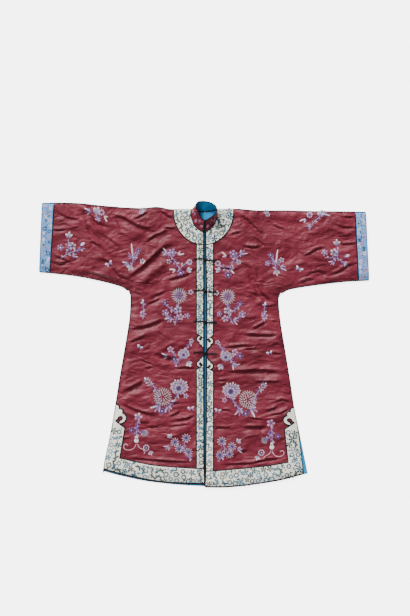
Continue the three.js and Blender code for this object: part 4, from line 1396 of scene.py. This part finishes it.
def peony(work, x, y, size, turn):
    """A peony that turns a little aside: rounds of petals, purple in the middle with pale edges."""
    up, low = work.height * 0.5, y - 0.06 * size
    for k in range(19):
        angle = 360 * k / 19
        c, s = direction(angle)
        length = size * (0.25 + 0.06 * math.cos(math.radians(angle - 50)) + 0.03 * (-1) ** k)
        work.petal(x + 0.28 * size * c, y + 0.2 * size * s, angle, length, size * 0.11, PURPLE, WHITE, 0.6)
    work.ring(x, low, 12, size * 0.26, size * 0.13, PURPLE, LAVENDER, turn + 20, size * 0.15, 0.7, up)
    work.ring(x, low, 9, size * 0.2, size * 0.13, PLUM, WHITE, turn + 45, size * 0.08, 0.5, 2 * up)
    work.ring(x, low, 6, size * 0.16, size * 0.13, PLUM, PURPLE, turn, 0.0, 0.6, 3 * up)


def daisy(work, x, y, size, turn):
    """A daisy with white tips round a blue-purple middle."""
    work.ring(x, y, 10, size * 0.42, size * 0.1, PLUM, WHITE, turn, size * 0.1, 0.4)
    work.ring(x, y, 10, size * 0.26, size * 0.09, PURPLE, VIOLET, turn + 18, size * 0.08, 0.2)
    work.dot(x, y, size * 0.22, PLUM, work.height * 0.5)


def butterfly(work, x, y, size, turn, wing=LAVENDER, rim=WHITE, shade=PURPLE):
    """A butterfly with four wings, seen from above. It flies towards the turn."""
    for side in (-1, 1):
        work.petal(x, y, turn + side * 62, size * 0.62, size * 0.34, wing, rim, 0.5)
        work.petal(x, y, turn + side * 118, size * 0.44, size * 0.28, shade, wing, 0.4)
        work.petal(x, y, turn + side * 20, size * 0.36, size * 0.05, shade, GREY, 0.0)
    c, s = direction(turn)
    tail = (x - 0.2 * size * c, y - 0.2 * size * s)
    work.petal(*tail, turn, size * 0.42, size * 0.1, PLUM, shade, 0.2, work.height * 0.6)


def sprig(work, x, y, size, turn):
    """A short stem with leaves in pairs and a bud at its end."""
    c, s = direction(turn)
    work.stem([(x, y), (x + size * 0.75 * c, y + size * 0.75 * s)], 1.8, VIOLET)
    for share in (0.2, 0.45, 0.65):
        at_x, at_y = x + share * size * c, y + share * size * s
        work.petal(at_x, at_y, turn + 52, size * 0.34, size * 0.12, GREY, LAVENDER, 0.0)
        work.petal(at_x, at_y, turn - 52, size * 0.34, size * 0.12, GREY, LAVENDER, 0.0)
    bud(work, x + size * 0.75 * c, y + size * 0.75 * s, size * 0.3, turn)


def orchid_leaf(work, x, y, size, turn):
    """A long blade with a second one crossing it."""
    work.petal(x, y, turn, size, size * 0.1, PINK, WHITE, 0.0)
    for spread, share in ((34, 0.5), (-30, 0.45), (62, 0.36), (-64, 0.4), (95, 0.3), (-100, 0.3)):
        work.petal(x, y, turn + spread, size * share, size * 0.07, PURPLE, LAVENDER, 0.0)


def cluster(work, x, y, size, turn):
    """A bunch of small dark florets."""
    for k in range(6):
        c, s = direction(turn + 60 * k)
        reach = size * 0.3 if k else 0
        work.dot(x + reach * c, y + reach * s, size * 0.3, (PURPLE, VIOLET)[k % 2])


def trumpet(work, x, y, size, turn):
    """A flower seen from its side, opening towards the turn."""
    for spread in range(-36, 37, 12):
        length = size * (1.05 - abs(spread) * 0.006)
        work.petal(x, y, turn + spread, length, size * 0.17, PURPLE, GREY, 0.6, work.height * 0.3)


def gourd(work, x, y, size, turn):
    """A gourd of two round swellings with a tie at its waist."""
    c, s = direction(turn)
    work.dot(x, y, size * 0.62, WHITE)
    work.dot(x + 0.44 * size * c, y + 0.44 * size * s, size * 0.4, WHITE)
    work.dot(x + 0.27 * size * c, y + 0.27 * size * s, size * 0.2, PURPLE, work.height)


def coin(work, x, y, size, turn):
    """A pierced disc with a dark heart."""
    work.ring(x, y, 11, size * 0.2, size * 0.18, LAVENDER, WHITE, turn, size * 0.3, 0.0)
    work.ring(x, y, 8, size * 0.16, size * 0.13, PLUM, PLUM, turn, size * 0.13, 0.0)
    work.dot(x, y, size * 0.16, WHITE)


# The sprays: motif, size, then x, y and turn on the left side and on the right
SPRAYS = (
    (petals, 30, (-440, -24, 60), (458, -36, 70)),
    (ring_flower, 24, (-414, -18, 0), (418, -28, 0)),
    (leaves, 28, (-456, -14, 175), (470, -24, 10)),
    (pink_leaves, 24, (-404, -34, 320), (402, -44, 220)),
    (lavender, 16, (-424, -43, 10), (416, -75, 30)),
    (sprig, 34, (-262, -30, 60), (258, -40, 118)),
    (petals, 26, (-546, -122, 80), (528, -152, 95)),
    (blossom, 26, (-530, -153, 20), (515, -178, 0)),
    (lavender, 22, (-578, -158, 0), (478, -180, 40)),
    (bud, 22, (-500, -152, 35), (556, -196, 20)),
    (leaves, 22, (-530, -194, 15), (517, -216, 200)),
    (butterfly, 26, (-383, -224, 120), (375, -245, 60)),
    (orchid_leaf, 56, (-288, -200, 96), (284, -224, 84)),
    (violet, 20, (-266, -171, 0), (262, -190, 20)),
    (lavender, 20, (-284, -199, 30), (251, -222, 0)),
    (blossom, 18, (-250, -213, 10), (306, -208, 30)),
    (leaves, 26, (-304, -222, 190), (300, -240, 0)),
    (petals, 24, (-292, -228, 240), (284, -246, 280)),
    (leaves, 28, (-150, -182, 150), (140, -186, 30)),
    (lavender, 28, (-130, -178, 0), (113, -185, 12)),
    (pink_leaves, 24, (-108, -188, 30), (86, -192, 160)),
    (ring_flower, 22, (-62, -217, 0), (51, -222, 0)),
    (blossom, 17, (-144, -215, 0), (134, -217, 40)),
    (pink_leaves, 24, (-118, -246, 200), (100, -244, 330)),
    (violet, 26, (-98, -259, 15), (92, -268, 0)),
    (petals, 22, (-74, -252, 20), (62, -254, 150)),
    (chrysanthemum, 58, (-103, -350, 0), (90, -355, 10)),
    (blossom, 18, (-57, -337, 0), (46, -340, 0)),
    (blossom, 26, (-108, -406, 30), (90, -410, 0)),
    (lavender, 24, (-158, -419, 0), (150, -424, 20)),
    (violet, 22, (-160, -380, 20), (140, -384, 10)),
    (pink_blossom, 24, (-98, -436, 10), (81, -442, 30)),
    (lavender, 20, (-71, -431, 0), (58, -424, 0)),
    (leaves, 26, (-134, -440, 210), (112, -446, 330)),
    (pink_blossom, 22, (-248, -424, 0), (238, -434, 20)),
    (bud, 16, (-248, -382, 90), (240, -392, 85)),
    (peony, 40, (-86, -585, 0), (83, -594, 0)),
    (pink_blossom, 22, (-138, -566, 20), (119, -577, 0)),
    (violet, 24, (-124, -604, 0), (139, -592, 0)),
    (petals, 24, (-70, -612, 300), (68, -624, 240)),
    (blossom, 16, (-54, -531, 0), (50, -537, 0)),
    (leaves, 24, (-150, -594, 170), (110, -622, 300)),
    (butterfly, 20, (-261, -557, 60), (258, -580, 110)),
    (peony, 62, (-105, -717, 0), (103, -730, 10)),
    (coin_chrysanthemum, 62, (-169, -755, 0), (172, -766, 0)),
    (sprig, 44, (-210, -716, 130), (214, -734, 50)),
    (leaves, 38, (-180, -790, 215), (180, -800, 320)),
    (leaves, 30, (-146, -790, 265), (140, -804, 250)),
    (violet, 24, (-172, -812, 0), (162, -822, 0)),
    (pink_blossom, 18, (-76, -752, 0), (78, -768, 0)),
    (butterfly, 22, (-56, -802, 100), (51, -811, 80)),
    (pink_blossom, 28, (-267, -835, 0), (263, -861, 0)),
    (cluster, 28, (-271, -880, 0), (263, -902, 0)),
    (violet, 20, (-294, -889, 0), (291, -913, 0)),
    (trumpet, 28, (-252, -890, 320), (250, -918, 220)),
    (gourd, 28, (-274, -930, 90), (267, -956, 90)),
    (coin, 24, (-235, -959, 0), (225, -978, 0)),
    (petals, 18, (-222, -972, 300), (212, -990, 250)),
    (daisy, 34, (-75, -920, 0), (67, -933, 10)),
    (daisy, 32, (-120, -936, 12), (108, -954, 0)),
    (daisy, 32, (-103, -962, 0), (60, -988, 16)),
    (daisy, 30, (-66, -976, 8), (98, -984, 0)),
    (leaves, 24, (-140, -954, 200), (128, -962, 340)),
    (petals, 20, (-134, -920, 130), (126, -938, 40)),
)

# Stems of the sprays: the points that each runs through
STEMS = (
    ((-578, -204), (-548, -183), (-480, -162)), ((478, -199), (531, -204), (572, -236)),
    ((-548, -183), (-546, -126)), ((531, -204), (528, -156)),
    ((-424, -58), (-430, -38), (-438, -20)), ((416, -88), (436, -56), (458, -36)),
    ((-296, -236), (-282, -200), (-266, -176)), ((285, -254), (280, -224), (264, -196)),
    ((-160, -176), (-130, -200), (-98, -250)), ((150, -182), (118, -206), (92, -258)),
    ((-98, -240), (-80, -224), (-62, -217)), ((92, -250), (70, -236), (52, -224)),
    ((-121, -470), (-112, -430), (-106, -376)), ((113, -465), (96, -430), (90, -382)),
    ((-121, -450), (-142, -436), (-158, -424)), ((113, -450), (132, -440), (150, -428)),
    ((-163, -384), (-140, -400), (-114, -420)), ((142, -388), (122, -404), (98, -424)),
    ((-248, -446), (-246, -410), (-248, -368)), ((238, -456), (236, -420), (240, -376)),
    ((-54, -531), (-72, -560), (-100, -600), (-120, -634)),
    ((50, -537), (70, -566), (100, -606), (132, -633)),
    ((-138, -570), (-116, -590)), ((119, -582), (104, -600)),
    ((-105, -740), (-130, -780), (-160, -806)), ((103, -752), (126, -790), (154, -814)),
    ((-219, -694), (-196, -730), (-180, -790)), ((229, -716), (204, -748), (184, -806)),
    ((-267, -842), (-272, -880), (-274, -912)), ((263, -868), (268, -900), (268, -938)),
    ((-238, -903), (-256, -900), (-270, -888)), ((236, -930), (252, -922), (264, -908)),
    ((-75, -920), (-84, -950), (-78, -980), (-52, -1006)), ((67, -933), (78, -960), (74, -990), (50, -1012)),
    ((-120, -936), (-104, -960), (-84, -972)), ((108, -954), (94, -974), (78, -992)),
)
# Ribbons that hang from the gourds
STREAMERS = (
    ((-275, -944), (-284, -960), (-302, -968), (-320, -964), (-325, -950), (-316, -943), (-308, -949)),
    ((-270, -944), (-262, -958), (-248, -966), (-240, -978), (-246, -984)),
    ((267, -970), (276, -986), (292, -994), (309, -990), (316, -978), (308, -970), (300, -976)),
    ((264, -970), (256, -984), (244, -990), (234, -1000)),
)
STEM_WIDTH = 2.6
MOTIF_SCALE = 1.08


def ribbon_flower(work, x, y, size, turn, chance, colours):
    """A flower or butterfly of the ribbons."""
    dark, light = colours
    if chance < 0.45:
        work.ring(x, y, 7, size * 0.28, size * 0.32, dark, light, turn, size * 0.18, 0.3)
        work.dot(x, y, size * 0.16, WHITE, work.height * 0.5)
    elif chance < 0.75:
        work.ring(x, y, 5, size * 0.42, size * 0.36, dark, light, turn, size * 0.1, 0.4)
        work.dot(x, y, size * 0.24, dark, work.height * 0.5)
    else:
        butterfly(work, x, y, size, turn, light, dark, dark)


def ribbon_leaves(work, x, y, size, turn, chance, colours):
    """Leaves on a short stalk."""
    dark, light = colours
    work.petal(x, y, turn + 180, size * 0.6, size * 0.1, light, light, 0.0)
    for spread in (-52, 8, 64)[: 2 + (chance < 0.5)]:
        work.petal(x, y, turn + spread, size * 0.72, size * 0.3, dark, light, 0.0)


def ribbon_dot(work, x, y, size, turn, chance, colours):
    """A berry or a dark leaf that fills a gap."""
    if chance < 0.5:
        work.dot(x, y, size * 0.7, NAVY)
    else:
        work.petal(x, y, turn, size * 1.4, size * 0.55, NAVY, NAVY, 0.0)


# The ribbons' figures, the largest first: how it is made, its radius and its own size
RIBBON_FIGURES = ((ribbon_flower, 10.5, 24.0), (ribbon_leaves, 7.2, 17.0), (ribbon_dot, 4.2, 8.5))
RIBBON_MARGIN = 0.9


def scatter(draw, half, area, distance, radius, taken, tries=5000):
    """Places on a ribbon for figures of some radius, clear of its edges and of the figures already there."""
    x_from, x_to, y_from, y_to = area
    x = np.array([draw.uniform(x_from, x_to) for _ in range(tries)])
    y = np.array([draw.uniform(y_from, y_to) for _ in range(tries)])
    room = np.maximum(distance(x, y), cloth_edge(half, x, y)) < -radius * RIBBON_MARGIN
    places = []
    for at_x, at_y in zip(x[room], y[room]):
        if all(math.hypot(at_x - a, at_y - b) > radius + other for a, b, other in taken):
            taken.append((at_x, at_y, radius))
            places.append((at_x, at_y))
    return places


def figured_areas(name):
    """The parts of a half's ribbons that are embroidered, short of their plain cloud heads."""
    shapes = ribbon_shapes(name)
    ends = {
        "yoke": (None, None),
        "front_band_upper": (FRONT_BAND[name][1][0], None),
        "front_band_lower": (None, FRONT_BAND[name][2][0]),
        "hem_trim": (None, HEM_TRIM[name][1][1]),
    }
    for trim, (area, distance) in shapes.items():
        x_from, x_to, y_from, y_to = area
        low, high = ends[trim]
        yield (x_from, x_to, low or y_from, high or y_to), distance


# Operators


class JACKET_OT_stage(bpy.types.Operator):
    """Make the pale floor, the soft lights and the camera"""

    bl_idname = "jacket.stage"
    bl_label = "Stage"

    def execute(self, context):
        stage, link = context.scene.jacket_stage, context.scene.collection.objects.link
        mesh = bpy.data.meshes.new("floor")
        corners = [(x * FLOOR_HALF, y * FLOOR_HALF, 0) for x, y in ((-1, -1), (1, -1), (1, 1), (-1, 1))]
        mesh.from_pydata(corners, [], [(0, 1, 2, 3)])
        floor = bpy.data.objects.new("floor", mesh)
        floor.location.z = FLOOR_LEVEL
        link(floor)
        finish = Finish("Pale floor", Roughness=0.9, Specular_IOR_Level=0.1, Emission_Strength=stage.glow)
        finish.shader.inputs["Base Color"].default_value = opaque(FLOOR_COLOUR)
        finish.shader.inputs["Emission Color"].default_value = opaque(WHITE_LIGHT)
        mesh.materials.append(finish.material)
        for name, (place, spread) in LIGHTS.items():
            light = bpy.data.lights.new(f"{name} light", "SUN")
            light.energy = getattr(stage, name)
            light.angle = math.radians(spread)
            lamp = bpy.data.objects.new(f"{name} light", light)
            lamp.location = place
            lamp.rotation_euler = (-lamp.location).to_track_quat("-Z", "Y").to_euler()
            link(lamp)
        world = bpy.data.worlds.new("Soft light")
        context.scene.world = world
        world.use_nodes = True
        background = world.node_tree.nodes["Background"]
        background.inputs["Color"].default_value = opaque(WHITE_LIGHT)
        background.inputs["Strength"].default_value = stage.sky
        camera = bpy.data.objects.new("camera", bpy.data.cameras.new("camera"))
        camera.location = (ORIGIN[0] * MM, (ORIGIN[1] + PICTURE_MIDDLE) * MM, stage.camera_height)
        camera.data.sensor_fit = "VERTICAL"
        camera.data.lens = camera.data.sensor_height * stage.camera_height / stage.view_height
        camera.data.clip_end = VIEW_FAR
        link(camera)
        context.scene.camera = camera
        return {"FINISHED"}


class JACKET_OT_lining(bpy.types.Operator):
    """Make the back's turquoise lining"""

    bl_idname = "jacket.lining"
    bl_label = "Lining"

    def execute(self, context):
        inset = LINING_INSET
        cx, _, rx, _ = NECK

        def distance(x, y):
            values = []
            for half in HALVES.values():
                out = half["side"] * x
                arm_x, arm_y = half["underarm"]
                below_slit = read(half["back_side"], y) - inset["slit"]
                above_slit = read(half["front_side"], y) - inset["seam"]
                slit = smoothstep(SLIT_TOP - SLIT_BLEND - y, 0, SLIT_BLEND)
                edge = np.where(y > arm_y, arm_x - inset["arm"], mix(above_slit, below_slit, slit))
                hem = read(half["back_hem"], out) + inset["slit"] - y
                values.append(np.where(out >= 0, np.maximum(out - edge, hem), -1e3))
            shoulder = y - read(LINING_TOP, np.abs(x))
            neck = ellipse_distance(x, y, (cx, 0, rx, NECK_BACK_DEPTH + inset["neck"]))
            top = np.maximum(shoulder, -neck)
            return np.maximum(np.maximum(*values), top)

        places, faces = grid(*LINING_AREA, LINING_CELL)
        places, faces = cut(places, faces, distance(*places.T))
        points = np.column_stack([places, np.full(len(places), SILK + GAP + LINING / 2)])
        wall = thicken(points, faces, -LINING / 2, LINING / 2)
        piece = make_piece("lining_silk", *wall, finish_of("lining"), "lining", ["lining_back"])
        return {"FINISHED"}


class JACKET_OT_bodies(bpy.types.Operator):
    """Make the two silk halves with their folds and creases"""

    bl_idname = "jacket.bodies"
    bl_label = "Silk halves"

    def execute(self, context):
        for name, half in HALVES.items():
            points, faces = without_neck(half, *body_lattice(half))
            wall = mirrored(half, *thicken(points, faces, -SILK / 2, SILK / 2))
            piece = make_piece(f"silk_{name}", *wall, finish_of("silk"), "silk", [f"body_{name}"])
        return {"FINISHED"}


class JACKET_OT_cuffs(bpy.types.Operator):
    """Make the light-blue cuff bands"""

    bl_idname = "jacket.cuffs"
    bl_label = "Cuff bands"

    def execute(self, context):
        for name, half in HALVES.items():
            points, faces = cuff_lattice(half)
            wall = mirrored(half, *thicken(points, faces, -SILK / 2, SILK / 2))
            piece = make_piece(f"cuff_band_{name}", *wall, finish_of("cuff"), "cuff_silk", [f"cuff_{name}"])
        return {"FINISHED"}


class JACKET_OT_ribbons(bpy.types.Operator):
    """Make the cream ribbons with their cloud heads"""

    bl_idname = "jacket.ribbons"
    bl_label = "Ribbons"

    def execute(self, context):
        widths = {"yoke": 0.066, "front_band_upper": 0.03, "front_band_lower": 0.03, "hem_trim": 0.062}
        for name in HALVES:
            for trim, width in widths.items():
                piece, area = make_ribbon(name, trim, finish_of("ribbon"))
        return {"FINISHED"}


class JACKET_OT_piping(bpy.types.Operator):
    """Make the black piping round the ribbons, the dark edging of the cloth and a dark cord of painted shade
    along the shoulder fold
    """

    bl_idname = "jacket.piping"
    bl_label = "Piping and edging"

    def execute(self, context):
        for name, half in HALVES.items():
            low = half["front_hem"][0][1] - 6
            upper = [(0, 142, -160, 8), (0, 46, -585, -160)]
            lower = [(0, 46, -996, -570), (0, 425, low, -996), (290, 425, -996, -780)]
            make_piping(name, "upper", ["yoke", "front_band_upper"], upper, finish_of("cord"))
            make_piping(name, "lower", ["hem_trim", "front_band_lower"], lower, finish_of("cord"))
            for edge, line in edge_paths(half):
                x, y = line.T
                z = np.maximum(front_height(half, x, y) + EDGE_LEVEL, EDGE_CORD[edge] * EDGE_FLATNESS)
                path = np.column_stack([x, y, z])
                cord = mirrored(half, *tube(path, EDGE_CORD[edge], EDGE_FLATNESS))
                make_piece(f"edging_{edge}_{name}", *cord, finish_of("cord"), "cord", sharp=80)
        return {"FINISHED"}


class JACKET_OT_frogs(bpy.types.Operator):
    """Make the four cord frogs: doubled cords, knots and loops"""

    bl_idname = "jacket.frogs"
    bl_label = "Frogs"

    def execute(self, context):
        for k, (left_y, right_y, level) in enumerate(FROGS):
            middle = (left_y + right_y) / 2
            edges = {name: float(read(half["opening"], middle)) for name, half in HALVES.items()}
            centre = (edges["right"] - edges["left"]) / 2
            for name, y in (("left", left_y), ("right", right_y)):
                half = HALVES[name]
                arm = self.arm(half, y, level, half["side"] * centre, name == "right")
                parts = [mirrored(half, *arm)]
                if name == "left":
                    parts.append(self.knot(centre, middle))
                make_piece(
                    f"frog_cord_{k + 1}_{name}", *join(parts), finish_of("cord"), "cord",
                    [f"frog_{k + 1}_{name}"], sharp=80,
                )
        return {"FINISHED"}

    def arm(self, half, y, level, centre, is_loop):
        """A doubled cord that turns back at its outer end; the right one also loops round the knot."""
        spread, steps = FROG_CORD * 1.15, 16
        inwards, outwards = FROG_END
        out = np.linspace(float(read(half["opening"], y)) - 1, FROG_REACH - inwards, steps)
        turns = np.radians(np.linspace(90, -90, 7))[1:-1]
        tip_x = FROG_REACH - inwards + outwards * np.cos(turns)
        tip_y = y + spread * 1.3 * np.sin(turns)
        x = np.concatenate([out, tip_x, out[::-1]])
        line = np.concatenate([np.full(steps, y + spread), tip_y, np.full(steps, y - spread)])
        if is_loop:
            ring = np.radians(np.linspace(-60, -300, 12))
            x = np.concatenate([x, centre + (KNOT[0] + FROG_LOOP) * np.cos(ring)])
            line = np.concatenate([line, y + 2 + (KNOT[1] + FROG_LOOP) * np.sin(ring)])
        edge = np.maximum(x, read(half["opening"], line))
        z = front_height(half, edge, line) + level + FROG_CORD
        return tube(np.column_stack([x, line, z]), FROG_CORD)

    def knot(self, x, y):
        """A ball knot: a ball whose surface swells where its cords cross."""
        rows, columns = 12, 18
        tilt = np.radians(np.linspace(-88, 88, rows))[:, None]
        turn = np.radians(np.linspace(0, 360, columns, endpoint=False))[None, :]
        crossed = 1 + 0.09 * np.cos(3 * turn + 2 * tilt) * np.cos(3 * turn - 2 * tilt)
        ball = [np.cos(tilt) * np.cos(turn), np.cos(tilt) * np.sin(turn), np.sin(tilt) + 0 * turn]
        points = np.stack([part * crossed * size for part, size in zip(ball, KNOT)], -1).reshape(-1, 3)
        return points + (x, y, KNOT_LEVEL), ring_faces(rows, columns)


class JACKET_OT_collar(bpy.types.Operator):
    """Make the standing collar, its lining, its edging and its embroidery"""

    bl_idname = "jacket.collar"
    bl_label = "Collar"

    def execute(self, context):
        around, up = COLLAR_CELLS
        points = self.surface(np.linspace(0, len(COLLAR) - 1, around + 1), np.linspace(0, 1, up + 1))
        faces = grid_faces(around, up)
        wall = thicken(points, faces, 0, COLLAR_WALL)
        outer = make_piece("collar_silk", *wall, finish_of("silk"), "silk", ["collar"])
        wall = thicken(points, faces, -GAP - COLLAR_LINING, 0)
        inner = make_piece("collar_turquoise", *wall, finish_of("lining"), "lining", ["collar_lining"])
        rim = points.reshape(up + 1, around + 1, 3)
        out = outward(points, faces)[: around + 1]
        foot = rim[0] + out * COLLAR_WALL + (0, 0, 0.8)
        foot[:, 2] = np.maximum(foot[:, 2], COLLAR_CORDS["collar_seam"])
        first, last = (round(around * share) for share in NECK_SEAM_SPAN)
        paths = {
            "collar_edging": np.vstack([rim[:, 0], rim[-1, 1:-1], rim[::-1, -1]]),
            "collar_seam": foot,
            "neck_seam": (rim[0] - out * (GAP + COLLAR_LINING))[first:last],
        }
        for name, path in paths.items():
            make_piece(name, *tube(path, COLLAR_CORDS[name]), finish_of("cord"), "cord", sharp=80)
        self.figures()
        return {"FINISHED"}

    def figures(self):
        """Small pale flowers and leaves round the collar's outside."""
        work = Stitching(0.6)
        draw = random.Random(bpy.context.scene.jacket_stitches.seed + 2)
        length, height = COLLAR_FACE
        first, last, apart, size = COLLAR_FIGURES
        for k, along in enumerate(np.arange(first, last, apart)):
            figure = (ribbon_flower, ribbon_leaves)[k % 2]
            colours = ((VIOLET, PINK), (PURPLE, LAVENDER))[k % 2]
            turn = draw.uniform(0, 360)
            figure(work, along, height * (0.36, 0.6)[k % 2], size, turn, draw.random(), colours)

        def wrap(places):
            at, rise = places[:, 0] / length * (len(COLLAR) - 1), places[:, 1] / height

            def spot(at, rise):
                return np.array([self.surface(np.array([a]), [r])[0] for a, r in zip(at, rise)])

            middle = spot(at, rise)
            out = np.cross(spot(at + 0.05, rise) - middle, spot(at, rise + 0.05) - middle)
            out /= np.linalg.norm(out, axis=1)[:, None]
            return middle + out * (COLLAR_WALL + places[:, 2:])

        work.make("collar_figures", wrap)

    def surface(self, at, rise):
        """Points of the collar's middle surface for places round and up it."""
        table = [(k, *row) for k, row in enumerate(COLLAR)]
        base = np.column_stack([read(table, at, column) for column in (1, 2, 3)])
        top = np.column_stack([read(table, at, 4), read(table, at, 5), base[:, 2] + read(table, at, 6)])
        return np.vstack([mix(base, top, share) for share in rise])


class JACKET_OT_embroidery(bpy.types.Operator):
    """Embroider the sprays on the silk and the small figures on the ribbons and cuffs"""

    bl_idname = "jacket.embroidery"
    bl_label = "Embroidery"

    def execute(self, context):
        height = context.scene.jacket_stitches.height / MM
        self.sprays(height)
        self.ribbon_figures(height * 0.7)
        self.cuff_figures(height * 0.8)
        return {"FINISHED"}

    def sprays(self, height):
        for side, column in (("left", 2), ("right", 3)):
            work = Stitching(height)
            for path in STEMS:
                if (path[0][0] < 0) == (side == "left"):
                    work.stem(path, STEM_WIDTH, LAVENDER, 15)
            for path in STREAMERS:
                if (path[0][0] < 0) == (side == "left"):
                    work.stem(path, STEM_WIDTH, PINK, stitch=5)
            for row in SPRAYS:
                motif, (x, y, turn) = row[0], row[column]
                motif(work, x, y, row[1] * MOTIF_SCALE, turn)
            work.make(f"sprays_{side}", on_top(ON_CLOTH + 0.3))

    def ribbon_figures(self, height):
        draw = random.Random(bpy.context.scene.jacket_stitches.seed)
        pairs = ((NAVY, STEEL), (TEAL, MIST), (STEEL, MIST), (SAGE, SLATE), (TEAL, STEEL), (SLATE, MIST))
        for name, half in HALVES.items():
            work = Stitching(height)
            for area, distance in figured_areas(name):
                taken = []
                for figure, radius, size in RIBBON_FIGURES:
                    for x, y in scatter(draw, half, area, distance, radius, taken):
                        turn, scale = draw.uniform(0, 360), draw.uniform(0.85, 1.15)
                        chance, tones = draw.random(), draw.choice(pairs)
                        figure(work, half["side"] * x, y, size * scale, turn, chance, tones)
            work.make(f"ribbon_figures_{name}", on_top(ON_RIBBON + 0.1))

    def cuff_figures(self, height):
        draw = random.Random(bpy.context.scene.jacket_stitches.seed + 1)
        pairs = ((PINK, WHITE), (VIOLET, WHITE), (WHITE, PINK), (NAVY, WHITE), (VIOLET, PINK), (NAVY, STEEL))
        for name, half in HALVES.items():
            work = Stitching(height)
            for k, up in enumerate(np.linspace(0.04, 0.96, 24)):
                x = mix(mix(*half["cuff_seam"], up), mix(*half["cuff_edge"], up), (0.3, 0.7)[k % 2])
                x += draw.uniform(-2.5, 2.5)
                y = float(row_height(half, np.array([x]), up)[0])
                figure, size = ((ribbon_flower, 19), (ribbon_leaves, 17), (ribbon_flower, 16))[k % 3]
                turn = draw.uniform(0, 360)
                figure(work, half["side"] * x, y, size, turn, draw.random(), draw.choice(pairs))
                beside = half["side"] * (x + 9 * (-1) ** k)
                ribbon_dot(work, beside, y + 4, 7, turn, draw.random(), (NAVY, NAVY))
            work.make(f"cuff_figures_{name}", on_top(ON_CLOTH + 0.1))


STEPS = ("stage", "bodies", "cuffs", "lining", "ribbons", "piping", "frogs", "collar", "embroidery")


class JACKET_PT_panel(bpy.types.Panel):
    """Lists the steps that make the jacket"""

    bl_idname = "JACKET_PT_panel"
    bl_label = "Chinese Jacket"
    bl_space_type = "VIEW_3D"
    bl_region_type = "UI"
    bl_category = "Jacket"

    def draw(self, context):
        for step in STEPS:
            self.layout.operator(f"jacket.{step}")
        for group in SETTINGS:
            settings = getattr(context.scene, group)
            for name in settings.bl_rna.properties.keys():
                if name not in ("name", "rna_type"):
                    self.layout.prop(settings, name)


SETTINGS = {
    "jacket_cloth": ClothSettings,
    "jacket_colours": ColourSettings,
    "jacket_stitches": StitchSettings,
    "jacket_stage": StageSettings,
}
OPERATORS = (
    JACKET_OT_stage,
    JACKET_OT_bodies,
    JACKET_OT_cuffs,
    JACKET_OT_lining,
    JACKET_OT_ribbons,
    JACKET_OT_piping,
    JACKET_OT_frogs,
    JACKET_OT_collar,
    JACKET_OT_embroidery,
)


def register():
    for item in (*SETTINGS.values(), *OPERATORS, JACKET_PT_panel):
        bpy.utils.register_class(item)
    for name, group in SETTINGS.items():
        setattr(bpy.types.Scene, name, PointerProperty(type=group))


def unregister():
    for name in SETTINGS:
        delattr(bpy.types.Scene, name)
    for item in reversed((*SETTINGS.values(), *OPERATORS, JACKET_PT_panel)):
        bpy.utils.unregister_class(item)


def main():
    register()
    for step in STEPS:
        getattr(bpy.ops.jacket, step)()


if __name__ == "__main__":
    main()
